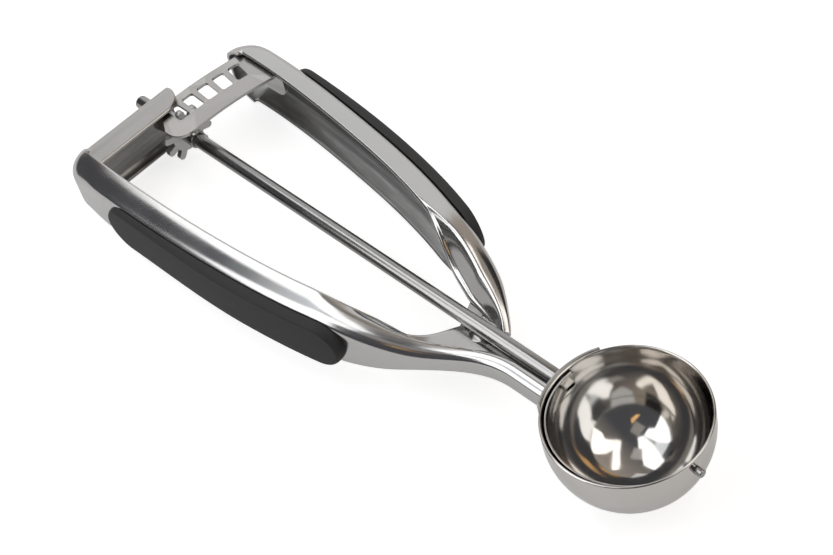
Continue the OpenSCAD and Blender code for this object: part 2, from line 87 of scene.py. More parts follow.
# %% [markdown]
# ## Surfaces from grids
# A pressed sheet or a spun bowl is a grid of points: rows along one direction, columns along the
# other. It could be modelled by hand and subdivided, but a formula keeps the real sizes. Numpy
# works out all the points at once, and the same few lines turn any grid into a mesh. A grid can
# carry a UV map in millimetres, so that polishing lines can follow the surface.


# %% Faces and lengths of a grid
def grid_faces(rows, cols, wrap_cols=False):
    """Quads of a grid counted row by row. Wrapped columns join the last line to the first."""
    i, j = np.meshgrid(np.arange(rows - 1), np.arange(cols if wrap_cols else cols - 1), indexing="ij")
    below, beside = i + 1, (j + 1) % cols
    quads = np.stack([i * cols + j, i * cols + beside, below * cols + beside, below * cols + j], -1)
    return quads.reshape(-1, 4)


def line_length(points, axis):
    """Distance along a grid's lines: the summed lengths of the steps before each point."""
    steps = np.linalg.norm(np.diff(points, axis=axis), axis=-1)
    return np.concatenate([np.zeros_like(steps.take([0], axis)), np.cumsum(steps, axis)], axis)


print("a 3 by 4 grid has", len(grid_faces(3, 4)), "faces, and", len(grid_faces(3, 4, True)), "when wrapped")


# %% Closed skins that face outward
def tidy_mesh(piece, merge=1e-7):
    """Merge poles and seams, points closer than a distance in metres, and turn faces outward."""
    work = bmesh.new()
    work.from_mesh(piece.data)
    bmesh.ops.remove_doubles(work, verts=work.verts, dist=merge)
    bmesh.ops.dissolve_degenerate(work, edges=work.edges, dist=merge)
    bmesh.ops.recalc_face_normals(work, faces=work.faces)
    work.to_mesh(piece.data)
    work.free()


# %% A piece from points and faces
def add_piece(name, points, faces, uv=None, inner=None):
    """A mesh object from points in millimetres and lists of corner numbers. Outward normals.
    Points on a sheet's inner side can be marked for the materials."""
    mesh = bpy.data.meshes.new(name)
    mesh.from_pydata((np.asarray(points).reshape(-1, 3) * MM).tolist(), [],
                     np.asarray(faces).tolist())
    if uv is not None:
        corners = np.zeros(len(mesh.loops), np.int32)
        mesh.loops.foreach_get("vertex_index", corners)
        layer = mesh.uv_layers.new(name="surface_mm")
        layer.data.foreach_set("uv", np.asarray(uv, np.float32).reshape(-1, 2)[corners].ravel())
    if inner is not None:
        mark = mesh.attributes.new("inner_side", "FLOAT", "POINT")
        mark.data.foreach_set("value", np.asarray(inner, np.float32).ravel())
    piece = bpy.data.objects.new(name, mesh)
    bpy.context.scene.collection.objects.link(piece)
    tidy_mesh(piece)
    return piece


# %% [markdown]
# ## What every piece needs
# A finished piece is shaded smooth except at its true edges. Then it rides on one of the moving bodies and
# stands for its solid. Two helpers keep these lines the same for every piece, so that none is forgotten.


# %% Shading and riding
def smooth(piece, angle=40):
    """Smooth shading, except across edges sharper than an angle in degrees."""
    piece.data.shade_smooth()
    piece.data.set_sharp_from_angle(angle=math.radians(angle))
    return piece


def finish_piece(piece, body, slot, *nodes):
    """Ride on a body and stand for its CAD nodes. The slot is not used."""
    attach(piece, body)
    if nodes:
        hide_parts(*nodes)
    print(piece.name, "faces:", len(piece.data.polygons))
    return piece


# %% [markdown]
# ## Shared measures
# These are the same driving sizes as in the solid model, in millimetres. The drive rod's axis
# is the X axis and the bowl's centre is the origin, so most places follow from a few lengths.
# Sizes that only one piece has are given with that piece.

# %% Shared measures in millimetres
bowl_r, rim_h, collar_t = 23.0, 4.6, 0.9
rod_d, running_gap, weld_gap = 4.5, 0.06, 0.05
pivot_back, rack_radius, bridge_back, end_past = 55.0, 128.7, 13.0, 2.8
handle_h, side_y, sheet = 22.4, 37.3, 1.2
top_z = handle_h / 2
rack_x = -pivot_back - rack_radius
bridge_x = rack_x - bridge_back
end_x = bridge_x - end_past
end_y = side_y - 9
collar_r = bowl_r + collar_t
print("closed rear end at x, mm:", round(end_x, 1))

# %% [markdown]
# ## Curved paths
# Each handle is one strip of steel pressed into a channel that follows a curved path, and the
# path is a few cubic curves joined end to end. Blender has such curves, but here the channel's
# outline changes along the way, so the path is worked out as evenly spaced stations with the
# direction in which the channel opens. Smooth ramps blend one size into another between stations.


# %% Smooth ramps
def ease(t):
    """Smooth step: 0 below 0, 1 above 1, and 3t^2 - 2t^3 between."""
    c = np.clip(t, 0, 1)
    return c * c * (3 - 2 * c)


def ramp(x, start, end):
    """Smooth step from 0 at start to 1 at end."""
    return ease((x - start) / (end - start))


def mix(a, b, t):
    """Straight blend from a to b."""
    return a + (b - a) * t


print("a ramp at a quarter, half and three quarters:", ease(np.array([0.25, 0.5, 0.75])))


# %% Stations along a path
def bezier(p, t):
    """Points and slopes of a cubic curve with four control points: each control point is
    weighed by a cubic of t, and the slope is the curve's rate of change."""
    p = np.array(p, float)
    t = t[:, None]
    s = 1 - t
    point = s ** 3 * p[0] + 3 * t * s ** 2 * p[1] + 3 * t ** 2 * s * p[2] + t ** 3 * p[3]
    slope = 3 * s ** 2 * (p[1] - p[0]) + 6 * t * s * (p[2] - p[1]) + 3 * t ** 2 * (p[3] - p[2])
    return point, slope


def quarter(a, b, turn=0.552):
    """Quarter turn from a to b that starts along Y and ends along X. With the turn 0.552 a cubic
    curve comes within a thousandth of a circle."""
    return [a, (a[0], mix(a[1], b[1], turn)), (mix(b[0], a[0], turn), b[1]), b]


def follow(curves, side, spacing):
    """Stations along joined curves, evenly spaced: places and unit directions inward, which is
    to the right of the run for the side 1 and to its left for the side -1."""
    t = np.linspace(0, 1, 400)
    parts = [bezier(c, t) for c in curves]
    point = np.concatenate([p[0 if i == 0 else 1:] for i, (p, _) in enumerate(parts)])
    slope = np.concatenate([s[0 if i == 0 else 1:] for i, (_, s) in enumerate(parts)])
    slope = slope / np.linalg.norm(slope, axis=1, keepdims=True)
    length = line_length(point, 0)
    at = np.linspace(0, length[-1], int(length[-1] / spacing) + 1)
    place = np.stack([np.interp(at, length, point[:, k]) for k in (0, 1)], -1)
    run = np.stack([np.interp(at, length, slope[:, k]) for k in (0, 1)], -1)
    run = run / np.linalg.norm(run, axis=1, keepdims=True)
    inward = side * np.stack([run[:, 1], -run[:, 0]], -1)
    return place, inward


halfway = bezier(quarter((1, 0), (0, 1)), np.array([0.5]))[0]
print("a quarter turn's radius halfway:", round(float(np.linalg.norm(halfway)), 4))

# %% The two handles' paths
neck_side = 8.0
fixed_curves = [
    quarter((end_x, -end_y), (end_x + 9, -side_y)),
    [(end_x + 9, -side_y), (end_x + 43, -side_y - 0.9), (-pivot_back - 58, 1.2 - side_y),
     (-pivot_back - 30, 7.3 - side_y)],
    [(-pivot_back - 30, 7.3 - side_y), (-pivot_back - 3, 13 - side_y),
     (-pivot_back + 1, -neck_side - 0.5), (-pivot_back + 19, -neck_side)]]
lever_x, lever_y = end_x + 5.6, side_y - 0.8
lever_curves = [
    quarter((lever_x, lever_y - 9), (lever_x + 9, lever_y)),
    [(lever_x + 9, lever_y), (lever_x + 46, lever_y + 0.3), (-pivot_back - 52, lever_y - 4.2),
     (-pivot_back - 25, lever_y - 13.4)],
    [(-pivot_back - 25, lever_y - 13.4), (-pivot_back - 9, lever_y - 18.8),
     (-pivot_back + 1.5, lever_y - 25.7), (-pivot_back + 6.4, 5.5)]]
station_step = 0.8
for label, curves, side in (("fixed", fixed_curves, -1), ("lever", lever_curves, 1)):
    print(label, "path stations:", len(follow(curves, side, station_step)[0]))

# %% [markdown]
# ## The channel's outline
# Cut across, a handle is a wall with two lips turned inward and soft shoulders between them.
# Near the pivot the top lip slopes down into the neck or the tongue. So the outline is a height
# for each distance in from the wall, and its sizes are ramps along the handle. The shoulder is a
# quarter of an ellipse, because a plain round edge would make the highlight a hard line.


# %% Sizes along the handles
flange, edge_r, end_r = 8.0, 4.5, 7.4
neck_top, neck_drop, floor_drop, washer_t = 1.7, 6.6, 3.5, 0.4
eye_top = -floor_drop - sheet - washer_t - running_gap
eye_under = eye_top - sheet


def edge_radius(x, low, small):
    """Radius of the long outer edges: larger at the closed rear end, small at the front."""
    return mix(mix(edge_r, end_r, ramp(-x, -end_x - 19, -end_x - 7)), small, low)


for label, x in (("rear end", end_x), ("grip", rack_x + 20)):
    print("long edges' radius at the", label, "in mm:", round(float(edge_radius(x, 0, 0)), 1))


# %% The fixed handle's sizes
def fixed_shape(x):
    """Sizes of the fixed handle's outline at x, as a dictionary of arrays. The distance u is
    counted forward from the pivot. From about 40 behind it the top sinks into the neck, the
    lip runs down beside the pivot, and the shoulder narrows."""
    u = x + pivot_back
    low = ramp(u, -37, 8)
    top = mix(top_z, neck_top, low)
    return dict(top=top, low=-mix(top_z, neck_drop, low),
                top_depth=mix(flange, neck_side + 3.2, ramp(u, -35, 0))
                + 5.2 * np.exp(-((u - 5.3) / 7) ** 2),
                low_depth=mix(flange, 3, ramp(u, -30, -6)),
                lip=mix(top, -floor_drop, ramp(u, -40, 1)),
                r=edge_radius(x, ramp(u, -10, 10), 2.3),
                wide=mix(mix(12, 6.0, ramp(u, -36, -12)), 3.2, ramp(u, -8, 8)),
                ridge=mix(5.0, 3.6, ramp(u, -20, 3)), slope=mix(8, 2.2, ramp(u, -20, 3)))


print("fixed handle's height at the neck, mm:", round(neck_top + neck_drop, 1))


# %% The lever's sizes
def lever_shape(x):
    """Sizes of the lever's outline at x, as a dictionary of arrays. The distance u is counted
    forward from the pivot. The top sinks on a parabola, and the lip slopes down to the tongue."""
    u = x + pivot_back
    low = np.maximum(0, (u + 31.4) / 38) ** 2
    top = mix(top_z, eye_under + 2 * sheet + 0.5, low)
    tip = ramp(u, -8, 5)
    return dict(top=top, low=-mix(top_z, -eye_under, ramp(u, -32, -2)),
                top_depth=mix(mix(flange, 9.6, ramp(u, -32, -14)), 4.6, tip),
                low_depth=mix(flange, 4, ramp(u, -20, 4)),
                lip=mix(top, eye_top + 0.06, ramp(u, -46, -2)), r=edge_radius(x, tip, 1.3),
                wide=mix(mix(12, 6.6, ramp(u, -36, -14)), 2.6, tip),
                ridge=mix(mix(6.5, 5.0, ramp(u, -40, -16)), 1.8, tip), slope=mix(5.5, 2.6, tip))


at_pivot = lever_shape(np.array([-pivot_back]))
print("lever's height at the pivot, mm:", round(float((at_pivot["top"] - at_pivot["low"])[0]), 1))


# %% The outline itself
def shoulder(s, u, inset):
    """Height that the round shoulder adds at a depth u: an ellipse, level with the rim's height."""
    wide, high = s["wide"] - inset, s["r"] - inset
    rise = np.sqrt(1 - np.clip((s["wide"] - u) / wide, 0, 1) ** 2)
    at_rim = np.sqrt(1 - np.clip((s["wide"] - flange) / wide, 0, 1) ** 2)
    return high * (rise - at_rim)


def outline(s, inset, round_n=16, flat=12, wall=8):
    """Outline of the channel at each station, moved inward by an inset. Rows are stations.
    It runs from the bottom lip round the outside to the top lip, as (u, z) pairs:
    u is the distance inward from the outer wall. The skin blends from the ridge to the lip."""
    s = {k: v[:, None] for k, v in s.items()}
    turn = np.linspace(0, 1, round_n)[None] ** 1.5
    t = np.linspace(0, 1, flat)[None, 1:]

    def depths(end):
        """Depths from the wall to the lip, close together where the shoulder is steep."""
        end = end - sheet / 2
        part = np.minimum(s["wide"], 0.7 * end)
        return np.concatenate([inset + (part - inset) * turn, mix(part, end, t)], 1)

    def skin(u):
        """Height of the top skin at a depth u."""
        return (mix(s["top"], s["lip"], ease((u - s["ridge"]) / s["slope"]))
                + shoulder(s, u, inset))

    top_u, low_u = depths(s["top_depth"]), depths(s["low_depth"])
    lean = (skin(top_u + 0.05) - skin(top_u - 0.05)) / 0.1 * (top_u > s["ridge"])
    top_height = skin(top_u) - inset * np.sqrt(1 + lean ** 2)
    low_height = s["low"] - shoulder(s, low_u, inset) + inset
    up = np.linspace(0, 1, wall + 2)[None, 1:-1]
    side_z = mix(low_height[:, :1], top_height[:, :1], up)
    u = np.concatenate([low_u[:, ::-1], inset + 0 * side_z, top_u], 1)
    return np.stack([u, np.concatenate([low_height[:, ::-1], side_z, top_height], 1)], -1)


print("points in one outline:", outline(fixed_shape(np.array([rack_x])), 0).shape[1])

# %% [markdown]
# ## From outline to sheet
# A sheet has two skins and a rounded edge where it was cut. Solidify could thicken one skin, but
# it would pinch at the tight shoulders. So the outline is worked out twice, the second time
# moved inward by the thickness, and half circles close the ring at both lips. The rings, joined
# along the path and capped at both ends, are the whole piece.


# %% Closed rings
def lip_round(start, end, steps=6):
    """Half circle that rounds the sheet's edge, from the end of one skin to the other's."""
    turn = np.radians(np.linspace(0, 180, steps + 2))[None, 1:-1, None]
    middle, arm = (start + end)[:, None] / 2, (start - end)[:, None] / 2
    out = np.stack([np.abs(arm[..., 1]), -arm[..., 0] * np.sign(arm[..., 1])], -1)
    return middle + arm * np.cos(turn) + out * np.sin(turn)


def channel(place, inward, shape, thickness):
    """Closed rings of the channel's sheet: outer outline, lip, inner outline backwards, lip."""
    outer, inner = outline(shape, 0), outline(shape, thickness)
    ring = np.concatenate([outer, lip_round(outer[:, -1], inner[:, -1]), inner[:, ::-1],
                           lip_round(inner[:, 0], outer[:, 0])], 1)
    flat = place[:, None] + inward[:, None] * ring[..., :1]
    return np.concatenate([flat, ring[..., 1:]], -1)


place, inward = follow(fixed_curves, -1, station_step)
print("rings and points in each:", channel(place, inward, fixed_shape(place[:, 0]), sheet).shape[:2])


# %% A strip from rings
def strip(name, rings):
    """A strip from closed rings, with an end cap of quads between each ring's two halves.
    The second half of each ring is marked as the sheet's inner side."""
    rows, cols = rings.shape[:2]
    half = cols // 2
    j = np.arange(half - 1)
    cap = np.stack([j, j + 1, cols - 2 - j, cols - 1 - j], -1)
    faces = np.concatenate([grid_faces(rows, cols, True), cap, cap + (rows - 1) * cols])
    uv = np.stack([line_length(rings, 0), np.broadcast_to(line_length(rings, 1), (rows, cols))], -1)
    inner = np.broadcast_to(np.arange(cols) >= half, (rows, cols))
    return add_piece(name, rings, faces, uv, inner)


# %% [markdown]
# ## Fixed handle
# The near channel runs from its closed rear end, along the grip and down to the neck, where it
# follows the round saddle of the bowl. It could be cut off there with a Boolean, but that would
# leave long thin faces. So more rings slide along X onto the saddle's round, and the neck lies
# close against it, as a welded sheet does.

# %% Fixed handle
place, inward = follow(fixed_curves, -1, station_step)
rings = channel(place, inward, fixed_shape(place[:, 0]), sheet)
neck_steps = np.linspace(0, 1, 16)[1:, None]
last = rings[-1]
touch = -np.sqrt((collar_r + weld_gap) ** 2 - last[:, 1] ** 2 - np.minimum(last[:, 2], 0) ** 2)
neck = np.stack(np.broadcast_arrays(mix(last[:, 0], touch, neck_steps), last[:, 1], last[:, 2]), -1)
fixed_handle = strip("fixed_handle_skin", np.concatenate([rings, neck]))
smooth(fixed_handle, 50)
finish_piece(fixed_handle, "frame", "polished_steel", "fixed_handle")

# %% [markdown]
# ## Lever
# The far channel is pressed the same way and ends at the pivot. Its wall lies a little further
# in than the plain path along the grip, and a little further out at the front, so each station
# is moved by a small smooth shift before the outline is set on it.


# %% Lever
def lever_shift(x):
    """How far the wall lies inward of the path, in millimetres: a long ramp up and down
    along the grip, less a bell at the front."""
    return (1.25 * ramp(x, -185, -125) * (1 - ramp(x, -88, -66))
            - 0.8 * np.exp(-((x + 61) / 6) ** 2))


place, inward = follow(lever_curves, 1, station_step)
place = place + inward * lever_shift(place[:, :1])
lever = strip("lever_handle_skin", channel(place, inward, lever_shape(place[:, 0]), sheet))
smooth(lever, 50)
finish_piece(lever, "lever", "polished_steel", "lever_handle")

# %% [markdown]
# ## The lever's tongue
# Between the lever's two skins a flat tongue runs on to the pivot's eye. It is a drawn outline
# given a thickness, with the eye's hole and a small window beside the ridge. A filled 2D curve
# does this in one step, holes and softened edges included, and is then turned into a mesh.


# %% Flat plates
def plate(name, loops, low, thickness, bevel=0.15):
    """A flat plate from closed loops of points. The first is its outline, the rest are holes."""
    curve = bpy.data.curves.new(name, "CURVE")
    curve.dimensions = "2D"
    curve.fill_mode = "BOTH"
    curve.extrude = (thickness / 2 - bevel) * MM
    curve.bevel_depth = bevel * MM
    curve.offset = -bevel * MM
    curve.bevel_resolution = 1
    for loop in loops:
        spline = curve.splines.new("POLY")
        spline.points.add(len(loop) - 1)
        flat = np.concatenate([np.asarray(loop) * MM, np.zeros((len(loop), 1)),
                               np.ones((len(loop), 1))], 1)
        spline.points.foreach_set("co", flat.astype(np.float32).ravel())
        spline.use_cyclic_u = True
    holder = bpy.data.objects.new(name + "_outline", curve)
    bpy.context.scene.collection.objects.link(holder)
    bpy.context.view_layer.update()
    ready = holder.evaluated_get(bpy.context.evaluated_depsgraph_get())
    mesh = bpy.data.meshes.new_from_object(ready)
    mesh.transform(Matrix.Translation((0, 0, (low + thickness / 2) * MM)))
    bpy.data.objects.remove(holder)
    piece = bpy.data.objects.new(name, mesh)
    bpy.context.scene.collection.objects.link(piece)
    tidy_mesh(piece, 1e-6)
    return piece


# %% Arcs round the pivot
def arc(centre, r, start, end, steps=16):
    """Points on a circle from a start angle to an end angle, in degrees."""
    a = np.radians(np.linspace(start, end, steps))
    return np.stack([centre[0] + r * np.cos(a), centre[1] + r * np.sin(a)], -1)


pivot_d, eye_r = 4.0, 6.4
pivot = (-pivot_back, 0)
print("eye's rim round its hole, mm wide:", round(eye_r - pivot_d / 2 - running_gap, 2))

# %% Tongue
middle = (place + inward * sheet / 2)[place[:, 0] > -pivot_back - 17]
edge = np.concatenate([[(-pivot_back - 12, 8.5)], middle, arc(pivot, eye_r, 0, -150, 40),
                       [(-pivot_back - 7.5, -1)]])
eye_hole = arc(pivot, pivot_d / 2 + running_gap, 0, 352, 48)
window = [(-59.9, 5.2), (-57.6, 6.1), (-60.3, 7.3)]
tongue = plate("lever_tongue", [edge, eye_hole, window], eye_under, sheet)
smooth(tongue, 30)
finish_piece(tongue, "lever", "polished_steel")

# %% [markdown]
# ## Turning and cutting
# Round things are a profile turned round an axis, as on a lathe. Turned cylinders also serve
# as drills: a Boolean takes them out of a piece and is applied at once, so that the hole is real
# geometry and its edge can be softened and catch the light.


# %% Lathe
def lathe(name, along, radius, axis=(1, 0, 0), centre=(0, 0, 0), around=96):
    """Solid of revolution: the pairs (along, radius) turned round an axis. Zero radius is a pole."""
    turn = np.linspace(0, 2 * np.pi, around, endpoint=False)
    along, radius = np.asarray(along, float), np.asarray(radius, float)
    main = np.array(axis, float)
    side = np.array([0, 1, 0.0]) if abs(main[1]) < 0.5 else np.array([1, 0, 0.0])
    side = side - main * (side @ main)
    side = side / np.linalg.norm(side)
    other = np.cross(main, side)
    ring = np.cos(turn)[:, None] * side + np.sin(turn)[:, None] * other
    points = (np.array(centre) + along[:, None, None] * main
              + radius[:, None, None] * ring[None])
    uv = np.stack(np.broadcast_arrays(along[:, None], turn[None] * radius.max()), -1)
    return add_piece(name, points, grid_faces(len(along), around, True), uv)


# %% Drill and cut
def drill(name, start, end, r, centre=(0, 0, 0)):
    """A plain cylinder along X, to be cut out of a piece."""
    return lathe(name, [start, start, end, end], [0, r, r, 0], centre=centre)


def cut(piece, *cutters):
    """Take the cutters out of the piece for good, then remove them."""
    for cutter in cutters:
        step = piece.modifiers.new("cut", "BOOLEAN")
        step.object = cutter
        step.solver = "EXACT"
    bpy.context.view_layer.update()
    ready = piece.evaluated_get(bpy.context.evaluated_depsgraph_get())
    mesh = bpy.data.meshes.new_from_object(ready)
    piece.modifiers.clear()
    piece.data = mesh
    for cutter in cutters:
        bpy.data.objects.remove(cutter)
    print(piece.name, "cut", len(cutters), "times")
    return piece


# %% [markdown]
# ## Rear bridge
# A short channel closes the fixed handle's rear end and carries the rod. It is the same kind of
# surface as a handle, carried straight along Y, so the same functions make it. Its top lip is cut
# to a quarter circle at the free end, where the stations lie closer together.

# %% Rear bridge
bridge_lip, bridge_foot, bridge_past, bridge_r = 11.6, 4.0, 4.3, 4.0
bridge_into_handle, bridge_under, bridge_wide = 1.6, 0.04, 7.0
near_y = -end_y - bridge_into_handle
y = near_y + (bridge_past - near_y) * (1 - (1 - np.linspace(0, 1, 60)) ** 1.6)
corner = bridge_lip - bridge_r
from_corner = np.maximum(corner ** 2 - (y - bridge_past + corner) ** 2, 0)
reach = np.where(y > bridge_past - corner, bridge_r + np.sqrt(from_corner), bridge_lip)
bridge_z = top_z - bridge_under
sizes = dict(top=bridge_z, low=-bridge_z, low_depth=bridge_foot, lip=bridge_z, r=bridge_r,
             wide=bridge_wide, ridge=50.0, slope=1.0)
shape = {name: np.full_like(y, size) for name, size in sizes.items()} | {"top_depth": reach}
place = np.stack([np.full_like(y, bridge_x), y], -1)
inward = np.broadcast_to([1.0, 0.0], place.shape)
bridge = strip("rear_bridge_skin", channel(place, inward, shape, sheet))
rod_hole_r = rod_d / 2 + running_gap
cut(bridge, drill("rod_hole", bridge_x - 2, bridge_x + 3, rod_hole_r))
smooth(bridge, 50)
finish_piece(bridge, "frame", "satin_steel", "rear_bridge")

# %% [markdown]
# ## Bowl
# The bowl is spun from one disc: a half sphere with a short straight band under the rim. A
# profile turned round the Z axis gives it without facets. It runs up the outside, round the rim
# and down the inside. Then the rod's hole and the front pin's hole with its small notch are cut.

# %% Bowl
bowl_wall, pin_d = 0.8, 2.4
bowl_in = bowl_r - bowl_wall
rise = np.radians(np.linspace(-90, 0, 72))
band = np.linspace(0, rim_h - bowl_wall / 2, 8)[1:]
lip = np.radians(np.linspace(0, 180, 9))[1:-1]
height = np.concatenate([bowl_r * np.sin(rise), band,
                         rim_h - bowl_wall / 2 + bowl_wall / 2 * np.sin(lip), band[::-1],
                         bowl_in * np.sin(rise[::-1])])
radius = np.concatenate([bowl_r * np.cos(rise), np.full(7, bowl_r),
                         bowl_r - bowl_wall / 2 + bowl_wall / 2 * np.cos(lip), np.full(7, bowl_in),
                         bowl_in * np.cos(rise[::-1])])
bowl = lathe("bowl_shell", height, radius, axis=(0, 0, 1), around=256)
cut(bowl, drill("rod_hole", -bowl_r - 1, 1 - bowl_in, rod_hole_r),
    drill("pin_hole", bowl_in - 1, bowl_r + 1, pin_d / 2 + running_gap),
    drill("notch", bowl_in - 1, bowl_r + 1, 0.6, centre=(0, 0, pin_d / 2 + 0.3)))
smooth(bowl, 50)
finish_piece(bowl, "frame", "bowl_steel", "bowl")

# %% [markdown]
# ## Saddle
# A curved sheet is welded round the back of the bowl, level with its rim, and takes the neck. It
# is a part of a larger sphere below and of a cylinder above. Its cut edges are crisp, so a narrow
# bevel rounds them, which is what makes a thin sheet look like metal and not like paper.


# %% Soft edges
def soften(piece, width, angle=40, segments=2):
    """Round the sharp edges by a width in millimetres and keep the flat faces flat."""
    bevel = piece.modifiers.new("edges", "BEVEL")
    bevel.width = width * MM
    bevel.segments = segments
    bevel.limit_method = "ANGLE"
    bevel.angle_limit = math.radians(angle)
    piece.data.shade_smooth()
    weigh = piece.modifiers.new("flat_faces", "WEIGHTED_NORMAL")
    weigh.weight = 80
    return piece


# %% Saddle round the back of the bowl
collar_angle, collar_drop = 31.0, 8.0
turn = np.radians(np.linspace(180 - collar_angle, 180 + collar_angle, 60))
z = np.concatenate([np.linspace(-collar_drop, 0, 20), np.linspace(0, rim_h, 8)[1:]])


def saddle_line(r):
    """Distance from the bowl's axis at each height: a sphere below the axis, a cylinder above."""
    return np.sqrt(r ** 2 - np.minimum(z, 0) ** 2)


reach = np.concatenate([saddle_line(collar_r), saddle_line(bowl_r + weld_gap)[::-1]])
tall = np.concatenate([z, z[::-1]])
rings = np.stack(np.broadcast_arrays(reach * np.cos(turn)[:, None], reach * np.sin(turn)[:, None],
                                     tall[None]), -1)
saddle = strip("bowl_saddle", rings)
soften(saddle, 0.12)
finish_piece(saddle, "frame", "satin_steel", "bowl_collar")

# %% [markdown]
# ## Scraper blade
# A half hoop of thin strip sweeps the inside of the bowl. It lies on a sphere just smaller than
# the bowl, is widest at the rod, and its ends have round corners. Each ring is cut out of that
# sphere at its own half width, so the strip is curved both ways, as the real one is.

# %% Scraper blade
blade_t, blade_gap, blade_overrun, blade_tilt = 0.5, 0.3, 2.7, -2.0
blade_w_back, blade_w_mid, blade_w_front, tip_r = 7.6, 6.6, 4.6, 1.4
blade_out = bowl_in - blade_gap
past = math.degrees(blade_overrun / blade_out)
turn = np.radians(np.linspace(180 - past, 360 + past, 240))
to_tip = np.minimum(turn - turn[0], turn[-1] - turn) * blade_out
half = np.interp(blade_out * np.cos(turn), [-blade_out, -blade_out / 2, 0, blade_out],
                 [blade_w_back / 2, blade_w_mid / 2 + 0.3, blade_w_mid / 2, blade_w_front / 2])
half = half - tip_r + np.sqrt(np.maximum(tip_r ** 2 - np.maximum(tip_r - to_tip, 0) ** 2, 0))
side = np.concatenate([np.linspace(-1, 1, 17), np.linspace(1, -1, 17)])
shell = np.concatenate([np.full(17, blade_out), np.full(17, blade_out - blade_t)])
z = half[:, None] * side
flat = np.sqrt(shell ** 2 - z ** 2)
rings = np.stack([flat * np.cos(turn)[:, None], flat * np.sin(turn)[:, None], z], -1)
blade = strip("scraper_blade_band", rings)
blade.data.transform(Matrix.Rotation(math.radians(blade_tilt), 4, "X"))
soften(blade, 0.08)
finish_piece(blade, "drive", "bowl_steel", "scraper_blade")

# %% [markdown]
# ## Turned parts
# The rod, its sleeves, the front pin and the rivet are all turned on a lathe, so each is a
# profile carried round an axis. Short arcs at the profile's corners keep the edges from being
# knife sharp, which is where bright steel catches its thin lines of light.


# %% Profiles with rounded corners
def rounded(corners, r=0.2, steps=4):
    """Profile through the corner points, each inner corner replaced by an arc of radius about r."""
    c = np.asarray(corners, float)
    before, at, after = c[:-2], c[1:-1], c[2:]
    in_step = at - before
    out_step = after - at
    in_len = np.linalg.norm(in_step, axis=1, keepdims=True)
    out_len = np.linalg.norm(out_step, axis=1, keepdims=True)
    size = np.minimum(r, np.minimum(in_len, out_len) * 0.45)
    start = at - in_step / in_len * size
    end = at + out_step / out_len * size
    t = np.linspace(0, 1, steps)[None, :, None]
    bend = (1 - t) ** 2 * start[:, None] + 2 * t * (1 - t) * at[:, None] + t ** 2 * end[:, None]
    return np.concatenate([c[:1], bend.reshape(-1, 2), c[-1:]])


print("one corner becomes", len(rounded([(0, 0), (0, 1), (1, 1)])) - 2, "points")


# %% Turned and joined pieces
def turned(name, corners, r=0.2, **kw):
    """Lathe piece from a profile's corners (along, radius) with rounded edges."""
    profile = rounded(corners, r)
    return smooth(lathe(name, profile[:, 0], profile[:, 1], **kw), 50)


def join(main, other):
    """One object from two, each keeping its own closed skin."""
    work = bmesh.new()
    work.from_mesh(main.data)
    work.from_mesh(other.data)
    bpy.data.objects.remove(other)
    work.to_mesh(main.data)
    work.free()
    return main


# %% [markdown]
# ## Drive rod
# The rod is one drawn bar from behind the bridge to the bowl, and a flat tang at its front end
# carries the blade. A plain cylinder would look sawn off, so the profile has arcs at both ends.
# The tang is a small bevelled block, joined to the bar as a second closed skin.

# %% Rod with its flat tang
rod_stub = 11.0
rod_r = rod_d / 2
rod_back = bridge_x - rod_stub
rod = turned("drive_rod_bar", [(rod_back, 0), (rod_back, rod_r), (-blade_out, rod_r), (-blade_out, 0)], 1.0)
tang_x = -blade_out - 0.5
tang_size = (blade_t + 1.2 + 0.5, 3.2, 1.6)
tang = bpy.data.objects.new("tang", bpy.data.meshes.new("tang"))
bpy.context.scene.collection.objects.link(tang)
work = bmesh.new()
bmesh.ops.create_cube(work, size=1)
bmesh.ops.scale(work, vec=[s * MM for s in tang_size], verts=work.verts)
bmesh.ops.translate(work, vec=((tang_x + tang_size[0] / 2) * MM, 0, 0), verts=work.verts)
bmesh.ops.bevel(work, geom=work.edges, offset=0.15 * MM, segments=2, affect="EDGES")
work.to_mesh(tang.data)
work.free()
smooth(join(rod, tang), 40)
finish_piece(rod, "drive", "rod_steel", "drive_rod")

# %% [markdown]
# ## Collar and spacer
# Two short sleeves keep the pinion in its place on the rod, one on each side. Both are tubes with
# the rod's own width as their bore, so one function turns both. The profile runs all the way round
# the sleeve's wall and closes on itself, so the bore is real and not a painted disc.


# %% Collar and spacer on the rod
def sleeve(name, start, end, r):
    """A short tube on the rod between two places along X, with rounded edges."""
    return turned(name, [(start, rod_r), (start, sleeve_r), (end, sleeve_r), (end, rod_r),
                         (start, rod_r)], r)


pinion_t, collar_len, sleeve_r = 1.8, 5, 2.9
pinion_front = rack_x + pinion_t / 2
collar = sleeve("rod_collar_ring", pinion_front + 0.01, pinion_front + collar_len, 0.25)
finish_piece(collar, "drive", "rod_steel", "rod_collar")
spacer = sleeve("rod_spacer_ring", bridge_x + sheet + 0.1, pinion_front - pinion_t, 0.2)
finish_piece(spacer, "drive", "gear_steel", "rod_spacer")

# %% [markdown]
# ## Front pin
# A small headed pin at the front of the bowl carries the blade's other end, in line with the rod.
# It is turned as one profile, head and shank together. Its head lies inside the bowl, and its
# plain end stands out past the wall.

# %% Front pin
pin_out, pin_head_r, pin_head_t = 2.2, pin_d / 2 + 0.5, 0.5
pin_in = blade_out - blade_t - 0.7
pin_neck = pin_in + pin_head_t
pin_end = bowl_r + pin_out
pin = turned("front_pin", [(pin_in, 0), (pin_in, pin_head_r), (pin_neck, pin_head_r),
                           (pin_neck, pin_d / 2), (pin_end, pin_d / 2), (pin_end, 0)], 0.3, around=48)
finish_piece(pin, "drive", "rod_steel", "blade_front_pin")
print("overall length, mm:", round(pin_end - rod_back, 1))

